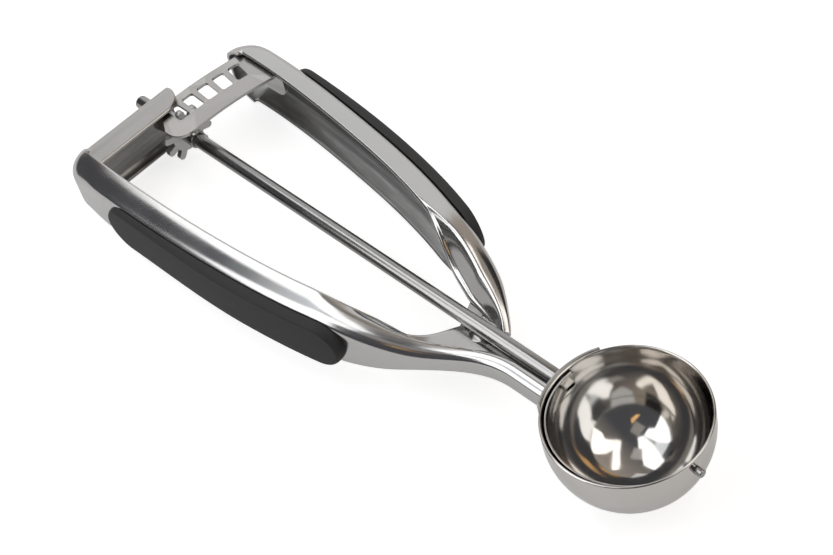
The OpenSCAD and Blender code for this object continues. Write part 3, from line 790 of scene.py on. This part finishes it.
# %% [markdown]
# ## Pivot rivet
# The rivet joins the lever to the neck. Its upper head is a low dome, a slice of a large sphere,
# and its lower head is flat, because the return spring's coil and cup sit between it and the
# tongue. The stack of coil and cup decides how long the rivet is.

# %% Pivot rivet
pivot_head_d, dome_h, head_t, wire_d, coil_step = 6.4, 0.9, 0.7, 1.0, 1.1
head_r = pivot_head_d / 2
dome_r = (head_r ** 2 + dome_h ** 2) / (2 * dome_h)
dome = np.linspace(0, head_r, 12)
coil_top = eye_under - 0.2 - wire_d / 2
cup_top = coil_top - 2 * coil_step - wire_d / 2 - 0.2
low = cup_top - 0.5 - head_t
rivet_profile = np.concatenate([
    np.stack([-floor_drop + dome_h - dome_r + np.sqrt(dome_r ** 2 - dome ** 2), dome], -1),
    rounded([(-floor_drop, head_r), (-floor_drop, pivot_d / 2), (low + head_t, pivot_d / 2),
             (low + head_t, head_r), (low, head_r), (low, 0)], 0.2)])
rivet = smooth(lathe("pivot_rivet_body", rivet_profile[:, 0], rivet_profile[:, 1], axis=(0, 0, 1),
                     centre=(*pivot, 0), around=64), 50)
finish_piece(rivet, "frame", "rod_steel", "pivot_rivet")

# %% [markdown]
# ## Stamped parts
# The rack, the pinion and the washers are stamped from sheet, and their solids are already
# right. Making them again would add nothing, so each is copied from its CAD node as one skin. A
# solid comes as loose triangles, so the copy is merged and its flat faces made whole before the
# sharp edges are rounded slightly.


# %% Copies of solids
def copy_of(node, name):
    """A copy of a CAD node's mesh, merged into one skin, with its flat faces made whole."""
    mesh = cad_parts[node].data.copy()
    mesh.materials.clear()
    piece = bpy.data.objects.new(name, mesh)
    bpy.context.scene.collection.objects.link(piece)
    work = bmesh.new()
    work.from_mesh(mesh)
    bmesh.ops.remove_doubles(work, verts=work.verts, dist=2e-6)
    bmesh.ops.dissolve_limit(work, angle_limit=math.radians(1), verts=work.verts,
                             edges=work.edges)
    work.to_mesh(mesh)
    work.free()
    return piece


# %% [markdown]
# ## The rack's ear
# The rack's free corner is bent down into a small ear, whose lower corner is a wide arc. The
# solid has a smaller arc there. Its points already lie in order round the corner, so it is
# enough to move them to the larger circle, each at its own angle, and no new mesh is needed.


# %% A rounder ear
def round_ear(piece, small, large):
    """Move the points of the ear's lower front corner from a small arc to a larger one."""
    p = np.zeros(len(piece.data.vertices) * 3, np.float32)
    piece.data.vertices.foreach_get("co", p)
    p = p.reshape(-1, 3) / MM
    ear = p[:, 2] < p[:, 2].min() + small + 0.01
    front, low = p[ear, 0].max(), p[ear, 2].min()
    corner = ear & (p[:, 0] > front - small - 0.01)
    turn = np.arctan2(low + small - p[corner, 2], p[corner, 0] - front + small)
    p[corner, 0] = front - large + large * np.cos(turn)
    p[corner, 2] = low + large - large * np.sin(turn)
    piece.data.vertices.foreach_set("co", (p * MM).astype(np.float32).ravel())
    piece.data.update()
    print(piece.name, "points moved:", int(corner.sum()))


# %% Rack, pinion and washers
for node, name, body, slot, width in (
        ("rack_plate", "rack_plate_stamping", "lever", "satin_steel", 0.2),
        ("pinion", "pinion_wheel", "drive", "gear_steel", 0.14),
        ("pivot_washer", "pivot_washer_ring", "frame", "gear_steel", 0.08),
        ("spring_cup", "spring_cup_ring", "frame", "gear_steel", 0.1)):
    piece = copy_of(node, name)
    if node == "rack_plate":
        round_ear(piece, small=1.5, large=4.5)
    finish_piece(soften(piece, width), body, slot, node)

# %% [markdown]
# ## Grip pads
# A moulded pad lies on each outer wall. It is a height field over the wall: zero at the rounded
# outline, rising on a quarter circle to its full thickness, and slightly crowned in the middle.
# Subdividing a box would give rounder ends than the real pad has, and the formula follows the
# curved wall exactly. The points crowd together near the edge, where the surface turns fastest.


# %% Grip pads
def grip_pad(name, curves, side, start, end, shift, thick, round_r=1.1, crown=0.25):
    """Pad over the wall between two x places. Thickness grows on a quarter circle from its edge.
    The wall's inward shift and the pad's thickness are functions of x."""
    place, inward = follow(curves, side, 0.2)
    along = (1 - np.cos(np.linspace(0, np.pi, 260))) / 2
    x = mix(start, end, mix(along, np.linspace(0, 1, 260), 0.6))
    x[0], x[-1] = start, end
    p = np.stack([np.interp(x, place[:, 0], place[:, k]) for k in (0, 1)], -1)
    n = np.stack([np.interp(x, place[:, 0], inward[:, k]) for k in (0, 1)], -1)
    p = p + n * shift(x[:, None])
    half = grip_h / 2
    from_end = np.minimum(x - start, end - x)
    reach = np.clip(from_end / half, 0, 1)
    h = half * np.sqrt(np.maximum(0, 1 - (1 - reach) ** 2))
    z = h[:, None] * np.sin(np.linspace(-np.pi / 2, np.pi / 2, 49))
    edge = half - np.hypot(np.maximum(half - from_end, 0)[:, None], z)
    rise = np.sqrt(np.clip(1 - (1 - np.clip(edge / round_r, 0, 1)) ** 2, 0, 1))
    t = (thick(x)[:, None] - crown) * rise + crown * rise * (1 - (z / half) ** 2)
    outer = np.concatenate([p[:, None] - n[:, None] * t[..., None], z[..., None]], -1)
    inner = np.concatenate([np.broadcast_to((p - n * weld_gap)[:, None], outer[..., :2].shape),
                            z[..., None]], -1)
    rings = np.concatenate([outer, inner[:, -2:0:-1]], 1)
    rows, cols = rings.shape[:2]
    uv = np.stack([np.broadcast_to(x[:, None], (rows, cols)), rings[..., 2]], -1)
    return smooth(add_piece(name, rings, grid_faces(rows, cols, True), uv), 60)


grip_h = 16.4
print("wall left bare above and below a grip, mm:", round((handle_h - grip_h) / 2, 1))


# %% [markdown]
# ## The two pads
# The pads differ in length and in thickness. The near one swells gently toward its front half.
# The far one keeps an even outside, so it is thicker just where the lever's wall lies further in.
# Both come from the same function, and each brings its own thickness as a function of place.


# %% Near and far grip
def near_thickness(x):
    """The near pad's thickness: it swells gently toward its front half."""
    return mix(2.1, 3.3, ramp(x, -165, -115))


def far_thickness(x):
    """The far pad's thickness: even on its outside, so it makes up for the wall's shift."""
    return 2.25 + lever_shift(x)


grip_from = rack_x + 8.7
near_grip = grip_pad("fixed_grip_pad", fixed_curves[1:], -1, grip_from, -pivot_back - 24.5,
                     np.zeros_like, near_thickness)
finish_piece(near_grip, "frame", "grip", "fixed_grip")
far_grip = grip_pad("lever_grip_pad", lever_curves[1:], 1, grip_from + 4, -pivot_back - 20.5,
                    lever_shift, far_thickness)
finish_piece(far_grip, "lever", "grip", "lever_grip")

# %% [markdown]
# ## Return spring
# One wire: a leg from the fixed handle, a coil round the rivet and a leg to the lever. A curve with a bevel
# could make it, but a small circle carried along a path stays in the same grid form as the rest. The spring
# bends between the two bodies when the lever moves, so here it rides on neither body.


# %% Legs of the spring
def leg_angle(p, side):
    """Angle at which a straight leg from the coil's circle to a point leaves the circle: the
    point's own angle, and to one side of it the arc cosine of radius over distance."""
    d = np.array(p) - np.array(pivot)
    open_angle = math.acos(coil_r / np.linalg.norm(d))
    return math.degrees(math.atan2(d[1], d[0])) + side * math.degrees(open_angle)


coil_r = 3.2
near_leg, far_leg = (-78.65, -24.42), (-66.0, 9.0)
start = leg_angle(near_leg, -1)
sweep = 360 + (leg_angle(far_leg, 1) - start) % 360
print("the spring's coil turns by", round(sweep), "degrees")


# %% Wire
def tube(name, path, r, around=12):
    """A circle of radius r carried along a path of points, with closed ends."""
    run = np.gradient(path, axis=0)
    run = run / np.linalg.norm(run, axis=1, keepdims=True)
    side = np.cross([0, 0, 1.0], run)
    side = side / np.linalg.norm(side, axis=1, keepdims=True)
    up = np.cross(run, side)
    turn = np.linspace(0, 2 * np.pi, around, endpoint=False)[None, :, None]
    rings = path[:, None] + r * (np.cos(turn) * side[:, None] + np.sin(turn) * up[:, None])
    ends = [np.broadcast_to(path[k], (1, around, 3)) for k in (0, -1)]
    rings = np.concatenate([ends[0], rings, ends[1]])
    return add_piece(name, rings, grid_faces(len(rings), around, True))


# %% Return spring
turn = np.linspace(0, sweep, 120)
drop = coil_top - coil_step * turn / 360
angle = np.radians(start + turn)
coil = np.stack([-pivot_back + coil_r * np.cos(angle), coil_r * np.sin(angle), drop], -1)
first = mix(np.array([*near_leg, coil_top]), coil[0], np.linspace(0, 1, 30)[:-1, None])
last = mix(coil[-1], np.array([*far_leg, drop[-1]]), np.linspace(0, 1, 30)[1:, None])
spring = smooth(tube("return_spring_wire", np.concatenate([first, coil, last]), wire_d / 2), 60)
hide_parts("return_spring")
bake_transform(spring)
print(spring.name, "faces:", len(spring.data.polygons))

# %% [markdown]
# ## Shared effects
# Steel has almost no colour of its own. What tells one finish from another is how sharp its reflections
# are, which way the fine polishing lines run, and how it has worn. Several steels share these effects, so
# each effect is a node group, built once: lines, clouds with brighter worn edges, and painted shade with
# extra roughness on the inner side of a pressed sheet.


# %% Node helpers
def add_node(tree, kind, inputs=None, **settings):
    """A new shader node. Settings are its own properties, inputs are its sockets' values."""
    made = tree.nodes.new("ShaderNode" + kind)
    for key, value in settings.items():
        setattr(made, key, value)
    for key, value in (inputs or {}).items():
        made.inputs[key].default_value = value
    return made


def map_range(tree, source, low, high, to_low, to_high):
    """A node that carries the range low to high over to another range, and stops at its ends."""
    made = add_node(tree, "MapRange", {"From Min": low, "From Max": high,
                                       "To Min": to_low, "To Max": to_high})
    tree.links.new(source, made.inputs["Value"])
    return made.outputs[0]


def combine(tree, operation, a, b):
    """A Math node fed by two sockets."""
    made = add_node(tree, "Math", operation=operation)
    tree.links.new(a, made.inputs[0])
    tree.links.new(b, made.inputs[1])
    return made.outputs[0]


# %% Empty groups
def group(name, inputs, outputs):
    """An empty shader node group with named sockets. Returns it with its input and output nodes."""
    tree = bpy.data.node_groups.new(name, "ShaderNodeTree")
    for label, kind, value in inputs:
        socket = tree.interface.new_socket(label, in_out="INPUT", socket_type="NodeSocket" + kind)
        if value is not None:
            socket.default_value = value
    for label in outputs:
        tree.interface.new_socket(label, in_out="OUTPUT", socket_type="NodeSocketFloat")
    return tree, tree.nodes.new("NodeGroupInput"), tree.nodes.new("NodeGroupOutput")


# %% [markdown]
# ## Polishing lines
# A polishing belt leaves thousands of fine parallel lines. A picture of scratches would blur up
# close. Noise that is squeezed along one direction stays crisp at any distance, so the group
# multiplies the coordinates by a vector before the noise reads them.


# %% Polishing lines
def line_group():
    """Fine lines: noise squeezed along one direction, as a mask around 0.5."""
    tree, enter, leave = group("polishing_lines", [("Vector", "Vector", None),
                                                   ("Across", "Vector", (1, 1, 1)),
                                                   ("Detail", "Float", 4.0)], ["Lines"])
    stretch = add_node(tree, "VectorMath", operation="MULTIPLY")
    noise = add_node(tree, "TexNoise", {"Scale": 1, "Roughness": 0.7})
    tree.links.new(enter.outputs["Vector"], stretch.inputs[0])
    tree.links.new(enter.outputs["Across"], stretch.inputs[1])
    tree.links.new(stretch.outputs[0], noise.inputs["Vector"])
    tree.links.new(enter.outputs["Detail"], noise.inputs["Detail"])
    tree.links.new(noise.outputs["Fac"], leave.inputs["Lines"])
    return tree


LINES = line_group()


def add_lines(tree, source, across, detail=4.0):
    """Place the lines' group in a tree, fed by a vector, with so many lines in each direction."""
    made = add_node(tree, "Group", node_tree=LINES)
    made.inputs["Across"].default_value = across
    made.inputs["Detail"].default_value = detail
    tree.links.new(source, made.inputs["Vector"])
    return made.outputs["Lines"]


print("group:", LINES.name)


# %% [markdown]
# ## Clouds and worn edges
# Steel in use isn't even. It has faint clouds, and hands rub its edges bright. The clouds are a
# coarse noise. The edges could be painted by hand, but Pointiness already tells how far the
# surface sticks out at each point, so it finds them by itself.


# %% Clouds and worn edges
def wear_group():
    """Faint clouds, and a brightness that follows them and rises where an edge sticks out."""
    tree, enter, leave = group("clouds_and_wear", [("Position", "Vector", None)],
                               ["Cloud", "Brightness"])
    cloud = add_node(tree, "TexNoise", {"Scale": 60, "Detail": 2})
    tree.links.new(enter.outputs["Position"], cloud.inputs["Vector"])
    tint = map_range(tree, cloud.outputs["Fac"], 0, 1, 0.94, 1.04)
    form = add_node(tree, "NewGeometry")
    wear = map_range(tree, form.outputs["Pointiness"], 0.52, 0.6, 0, 1)
    bright = add_node(tree, "Mix", {3: 1.2}, data_type="FLOAT")
    tree.links.new(wear, bright.inputs[0])
    tree.links.new(tint, bright.inputs[2])
    tree.links.new(cloud.outputs["Fac"], leave.inputs["Cloud"])
    tree.links.new(bright.outputs[0], leave.inputs["Brightness"])
    return tree


WEAR = wear_group()
print("group:", WEAR.name)


# %% [markdown]
# ## Painted shade on the inner side
# The inside of a pressed channel lies in shade, so its colour is darkened there as painted shade, in long
# streaks, and the steel is also made rougher. It could have a second material, but then a seam would show
# along the lip. The strips carry a mark on their inner skin instead, and where it is set the group paints
# the shade and roughens the steel.


# %% Painted shade on the inner side
def inner_shade_group():
    """On a sheet's inner side, painted shade in long streaks makes the brightness fall, and the roughness
    rises.
    """
    tree, enter, leave = group("inner_side_painted_shade", [("Vector", "Vector", None),
                                                   ("Brightness", "Float", 1.0),
                                                   ("Roughness", "Float", 0.2),
                                                   ("Shade_and_roughening", "Float", 0.5)], ["Brightness", "Roughness"])
    # Painted shade: long streaks set how much the inner side's colour is darkened.
    shade_streaks = add_lines(tree, enter.outputs["Vector"], (0.05, 0.55, 1), 7)
    amount = map_range(tree, shade_streaks, 0.34, 0.66, 0.55, 1.3)
    inner = add_node(tree, "Attribute", attribute_name="inner_side")
    share = combine(tree, "MULTIPLY", inner.outputs["Fac"], amount)
    less = add_node(tree, "Math", {0: 1.0}, operation="SUBTRACT")
    tree.links.new(enter.outputs["Shade_and_roughening"], less.inputs[1])
    bright = add_node(tree, "Mix", data_type="FLOAT")
    tree.links.new(share, bright.inputs[0])
    tree.links.new(enter.outputs["Brightness"], bright.inputs[2])
    tree.links.new(less.outputs[0], bright.inputs[3])
    more = add_node(tree, "Math", {1: 0.35}, operation="MULTIPLY")
    tree.links.new(enter.outputs["Shade_and_roughening"], more.inputs[0])
    extra = combine(tree, "MULTIPLY", more.outputs[0], inner.outputs["Fac"])
    tree.links.new(combine(tree, "ADD", extra, enter.outputs["Roughness"]), leave.inputs["Roughness"])
    tree.links.new(bright.outputs[0], leave.inputs["Brightness"])
    return tree


INNER_SHADE = inner_shade_group()
print("group:", INNER_SHADE.name)

# %% [markdown]
# ## Steel finishes
# Each steel is a metal with its own colour, a narrow range of roughness and a very low bump. On
# the large pieces the reflections stretch along the polishing, which is what a polishing wheel
# does, so those read a tangent from the UV map. Stamped parts have no clear direction, and read
# plain Object coordinates.


# %% Steel
def steel(name, colour, rough, across, bump, use_uv, stretch=0.0, turn=0.0, inner_shade_and_rough=0.0):
    """Steel: lines and clouds drive roughness between two values, and lines a very low bump.
    Reflections stretch along the surface's first direction, or across it for a quarter turn.
    On a sheet's inner side the last amount sets painted shade, which darkens the colour, and extra
    roughness."""
    material = bpy.data.materials.new(name)
    material.use_nodes = True
    tree = material.node_tree
    shader = tree.nodes["Principled BSDF"]
    shader.inputs["Metallic"].default_value = 1
    if stretch:
        shader.inputs["Anisotropic"].default_value = stretch
        shader.inputs["Anisotropic Rotation"].default_value = turn
        tangent = add_node(tree, "Tangent", direction_type="UV_MAP", uv_map="surface_mm")
        tree.links.new(tangent.outputs[0], shader.inputs["Tangent"])
    where = add_node(tree, "TexCoord")
    lines = add_lines(tree, where.outputs["UV" if use_uv else "Object"], across)
    wear = add_node(tree, "Group", node_tree=WEAR)
    tree.links.new(where.outputs["Object"], wear.inputs["Position"])
    brightness = wear.outputs["Brightness"]
    mottle = combine(tree, "MULTIPLY", lines, wear.outputs["Cloud"])
    roughness = map_range(tree, mottle, 0.12, 0.4, *rough)
    # Painted shade on the sheet's inner side: its colour is darkened and its roughness raised.
    if inner_shade_and_rough:
        inner = add_node(tree, "Group", node_tree=INNER_SHADE)
        inner.inputs["Shade_and_roughening"].default_value = inner_shade_and_rough
        tree.links.new(where.outputs["UV"], inner.inputs["Vector"])
        tree.links.new(brightness, inner.inputs["Brightness"])
        tree.links.new(roughness, inner.inputs["Roughness"])
        brightness, roughness = inner.outputs["Brightness"], inner.outputs["Roughness"]
    tint = add_node(tree, "VectorMath", {0: colour}, operation="SCALE")
    tree.links.new(brightness, tint.inputs["Scale"])
    tree.links.new(tint.outputs[0], shader.inputs["Base Color"])
    tree.links.new(roughness, shader.inputs["Roughness"])
    height = add_node(tree, "Bump", {"Strength": bump, "Distance": 0.00002})
    tree.links.new(lines, height.inputs["Height"])
    tree.links.new(height.outputs[0], shader.inputs["Normal"])
    print("finish:", name, "roughness", rough)
    return material


# %% The six steels
# The third pair of brackets holds how many lines there are in each direction: per metre on
# Object coordinates, and per millimetre on the UV map.
# The last number of the handle and pressed steels sets the painted shade and extra roughness on a sheet's
# inner side.
handle_steel = steel("handle_polish", (0.6, 0.595, 0.59), (0.13, 0.2), (3.0, 0.08, 1), 0.02,
                     True, 0.45, 0, 0.5)
bowl_polish = steel("bowl_polish", (0.665, 0.65, 0.628), (0.055, 0.12), (4, 0.08, 1), 0.16,
                    True, 0.55, 0)
pressed = steel("pressed_satin_steel", (0.52, 0.51, 0.495), (0.18, 0.25), (0.1, 3, 1), 0.04,
                True, 0.3, 0, 0.45)
satin = steel("satin_steel", (0.51, 0.497, 0.483), (0.23, 0.27), (900, 250, 900), 0.02, False)
drawn = steel("drawn_rod_steel", (0.38, 0.376, 0.372), (0.16, 0.25), (0.1, 3, 1), 0.12,
              True, 0.4, 0.25)
plain = steel("plain_gear_steel", (0.56, 0.553, 0.545), (0.36, 0.5), (2500, 2500, 2500), 0.3, False)

# %% [markdown]
# ## Grip rubber
# The pads are moulded in a matt dark rubber with a fine even grain. One fine noise gives all of
# it: the colour's small changes, the roughness, and a low bump that breaks up the soft sheen.


# %% Rubber
def rubber():
    """Matt moulded pad: dark grey with a fine even grain."""
    material = bpy.data.materials.new("moulded_grip")
    material.use_nodes = True
    tree = material.node_tree
    shader = tree.nodes["Principled BSDF"]
    shader.inputs["Specular IOR Level"].default_value = 0.3
    where = add_node(tree, "TexCoord")
    grain = add_node(tree, "TexNoise", {"Scale": 4200, "Detail": 3})
    tree.links.new(where.outputs["Object"], grain.inputs["Vector"])
    colour = add_node(tree, "ValToRGB")
    colour.color_ramp.elements[0].color = (0.028, 0.028, 0.029, 1)
    colour.color_ramp.elements[1].color = (0.05, 0.05, 0.052, 1)
    tree.links.new(grain.outputs["Fac"], colour.inputs["Fac"])
    tree.links.new(colour.outputs["Color"], shader.inputs["Base Color"])
    tree.links.new(map_range(tree, grain.outputs["Fac"], 0, 1, 0.5, 0.66), shader.inputs["Roughness"])
    height = add_node(tree, "Bump", {"Strength": 0.35, "Distance": 0.00008})
    tree.links.new(grain.outputs["Fac"], height.inputs["Height"])
    tree.links.new(height.outputs[0], shader.inputs["Normal"])
    return material


pad = rubber()
print("finish:", pad.name)

# %% [markdown]
# ## Finishes on their pieces
# One list says which piece has which finish, so that it can be read and changed in one place.
# Any solid that still shows by itself gets the plain satin steel.

# %% Put the finishes on
finishes = {
    "fixed_handle_skin": handle_steel, "lever_handle_skin": handle_steel,
    "lever_tongue": satin, "rear_bridge_skin": pressed, "bowl_shell": bowl_polish,
    "bowl_saddle": satin, "scraper_blade_band": bowl_polish, "drive_rod_bar": drawn,
    "rod_collar_ring": drawn, "rod_spacer_ring": plain, "front_pin": drawn,
    "pivot_rivet_body": drawn, "rack_plate_stamping": satin, "pinion_wheel": plain,
    "pivot_washer_ring": plain, "spring_cup_ring": plain, "fixed_grip_pad": pad,
    "lever_grip_pad": pad, "return_spring_wire": plain}
for name, material in finishes.items():
    bpy.data.objects[name].data.materials.clear()
    bpy.data.objects[name].data.materials.append(material)
shown = [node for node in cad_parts.values() if not node.hide_render]
for node in shown:
    node.data.materials.clear()
    node.data.materials.append(satin)
print("finished pieces:", len(finishes), "and solids that still show:", len(shown))

# %% [markdown]
# ## Floor
# The scoop lies on its bowl and on the rear of its handles, so the floor leans a little in the
# tool's own frame. The paper is pale grey and keeps the tool's shadow. A glow that is there only
# for the camera and for mirror reflections lifts it to white, so no more light falls on the tool.

# %% Floor
lean = math.asin((bowl_r - top_z) / (-end_x - 4))
reach = 3.0
floor_mesh = bpy.data.meshes.new("floor")
floor_mesh.from_pydata([(-reach, -reach, 0), (reach, -reach, 0), (reach, reach, 0),
                        (-reach, reach, 0)], [], [(0, 1, 2, 3)])
floor = bpy.data.objects.new("floor", floor_mesh)
floor.matrix_world = Matrix.Rotation(lean, 4, "Y") @ Matrix.Translation((0, 0, -bowl_r * MM))
bpy.context.scene.collection.objects.link(floor)
print("floor leans by, degrees:", round(math.degrees(lean), 1))

# %% Floor paper
floor_paper = bpy.data.materials.new("floor_paper")
floor_paper.use_nodes = True
tree = floor_paper.node_tree
tree.nodes.clear()
camera_glow, mirror_glow = 0.76, 0.25
paper = add_node(tree, "BsdfDiffuse", {"Color": (0.6, 0.6, 0.6, 1)})
seen = add_node(tree, "LightPath")
mirrored = add_node(tree, "Math", {1: mirror_glow}, operation="MULTIPLY")
total = add_node(tree, "Math", {1: camera_glow}, operation="MULTIPLY_ADD")
glow = add_node(tree, "Emission")
both = add_node(tree, "AddShader")
output = add_node(tree, "OutputMaterial")
tree.links.new(seen.outputs["Is Glossy Ray"], mirrored.inputs[0])
tree.links.new(seen.outputs["Is Camera Ray"], total.inputs[0])
tree.links.new(mirrored.outputs[0], total.inputs[2])
tree.links.new(total.outputs[0], glow.inputs["Strength"])
tree.links.new(paper.outputs[0], both.inputs[0])
tree.links.new(glow.outputs[0], both.inputs[1])
tree.links.new(both.outputs[0], output.inputs[0])
floor.data.materials.append(floor_paper)
print("floor paper's glow for the camera:", camera_glow)

# %% [markdown]
# ## Lit cards
# A polished bowl mirrors the whole room, so the room is built from flat lit cards, as a
# photographer hangs papers round a shiny thing. Lamps would show as small hard dots. The cards'
# corners are set on a round map of the sky, because in the bowl a card keeps nearly the same
# outline as on that map. The cards show in the steel and not to the camera.


# %% How a card is hung
def sky(a, b, reach):
    """Point reach metres from the bowl. The pair (a, b) is its place on a round map of the sky:
    overhead is (0, 0), the horizon is the unit circle, X is right and Y is up."""
    tip = math.hypot(a, b)
    fall = math.sin(tip * math.pi / 2) / max(tip, 1e-6)
    return (reach * a * fall, reach * b * fall, reach * math.cos(tip * math.pi / 2))


def card(name, corners, reach, colour, strength):
    """A lit card from its corners on the sky's map. It shows in the steel, not to the camera."""
    mesh = bpy.data.meshes.new(name)
    mesh.from_pydata([sky(a, b, reach) for a, b in corners], [], [list(range(len(corners)))])
    screen = bpy.data.objects.new(name, mesh)
    bpy.context.scene.collection.objects.link(screen)
    screen.visible_camera = False
    light = bpy.data.materials.new(name + "_light")
    light.use_nodes = True
    tree = light.node_tree
    tree.nodes.clear()
    glow = add_node(tree, "Emission", {"Color": (*colour, 1), "Strength": strength})
    output = add_node(tree, "OutputMaterial")
    tree.links.new(glow.outputs[0], output.inputs[0])
    mesh.materials.append(light)
    print("card:", name, "strength", strength)


WHITE, CREAM, AMBER = (1, 1, 1), (1, 0.945, 0.885), (1, 0.6, 0.25)

# %% Bright windows on both sides
card("near_window", [(-0.22, -0.29), (-0.40, -0.33), (-0.46, -0.36), (-0.54, -0.45), (-0.5, -0.72),
                     (-0.1, -0.74), (-0.1, -0.46), (0.0, -0.4), (0.0, -0.28)], 0.7, WHITE, 2.0)
card("near_strip", [(-0.62, 0.1), (-0.3, 0.1), (-0.2, 0.02), (-0.05, -0.08), (0.06, -0.2),
                    (0.0, -0.27), (-0.2, -0.24), (-0.36, -0.16), (-0.56, -0.06)], 0.7, WHITE, 2.0)
card("far_strip", [(-0.09, 0.38), (-0.04, 0.46), (0.0, 0.43), (0.2, 0.2), (0.3, 0.06), (0.22, 0.0),
                   (0.12, 0.14), (-0.04, 0.3)], 0.7, CREAM, 1.9)
card("far_window", [(0.3, 0.5), (0.4, 0.48), (0.55, 0.33), (0.64, 0.22), (0.5, 0.15), (0.4, 0.18),
                    (0.3, 0.07), (0.2, 0.21), (0.22, 0.34), (0.27, 0.45)], 0.7, CREAM, 1.9)
card("side_window", [(0.55, 0.68), (0.66, 0.56), (0.62, 0.36), (0.55, 0.38), (0.5, 0.5)],
     0.9, CREAM, 1.3)

# %% [markdown]
# ## Papers and a dark panel
# Between the windows hang duller papers. Polished steel needs dark shapes as much as bright ones,
# because the contrast between them is what shows its form. A small amber card adds a warm spot.

# %% Papers, a dark panel and a warm spot
card("grey_gap", [(-0.44, -0.12), (-0.36, -0.16), (-0.22, -0.24), (-0.24, -0.3), (-0.4, -0.32),
                  (-0.44, -0.34)], 0.72, (0.92, 0.96, 1), 1.0)
card("dark_panel", [(0.02, 0.56), (0.2, 0.54), (0.3, 0.56), (0.5, 0.58), (0.56, 0.78), (0.3, 0.94),
                    (-0.05, 0.98)], 1.1, WHITE, 0.03)
card("low_paper", [(0.07, -0.22), (0.22, -0.2), (0.24, -0.38), (0.05, -0.4)], 0.75, CREAM, 0.35)
card("backdrop", [(-0.5, 0.15), (-0.95, 0.12), (-0.8, 0.7), (-0.4, 0.95), (-0.28, 0.5), (-0.3, 0.26)],
     1.2, WHITE, 0.8)
card("overhead_paper", [(-0.22, 0.04), (-0.06, 0.13), (0.0, -0.04), (-0.1, -0.1)], 0.65, CREAM, 0.5)
card("lamp_spot", [(0.27, -0.31), (0.32, -0.36), (0.29, -0.47), (0.23, -0.51)], 0.65, AMBER, 1.2)

# %% [markdown]
# ## The tent behind the cards
# Behind the cards the room is a tent: dark on the near side, where the camera stands, and warmer
# and lighter on the far side. It is a world with a soft ramp along Y. The camera itself sees
# plain white, so the background is clean, and the light on the tool doesn't change.

# %% Tent
world = bpy.data.worlds.new("tent")
bpy.context.scene.world = world
world.use_nodes = True
tree = world.node_tree
tree.nodes.clear()
where = add_node(tree, "TexCoord")
split = add_node(tree, "SeparateXYZ")
tree.links.new(where.outputs["Generated"], split.inputs[0])
walls = add_node(tree, "ValToRGB")
walls.color_ramp.elements[0].position = 0.42
walls.color_ramp.elements[0].color = (0.085, 0.086, 0.094, 1)
walls.color_ramp.elements[1].position = 0.9
walls.color_ramp.elements[1].color = (0.44, 0.385, 0.33, 1)
tree.links.new(map_range(tree, split.outputs["Y"], -1, 1, 0, 1), walls.inputs["Fac"])
room = add_node(tree, "Background")
tree.links.new(walls.outputs["Color"], room.inputs["Color"])
white = add_node(tree, "Background", {"Color": (1, 1, 1, 1)})
seen = add_node(tree, "LightPath")
choose = add_node(tree, "MixShader")
output = add_node(tree, "OutputWorld")
tree.links.new(seen.outputs["Is Camera Ray"], choose.inputs[0])
tree.links.new(room.outputs[0], choose.inputs[1])
tree.links.new(white.outputs[0], choose.inputs[2])
tree.links.new(choose.outputs[0], output.inputs[0])
print("world:", world.name)
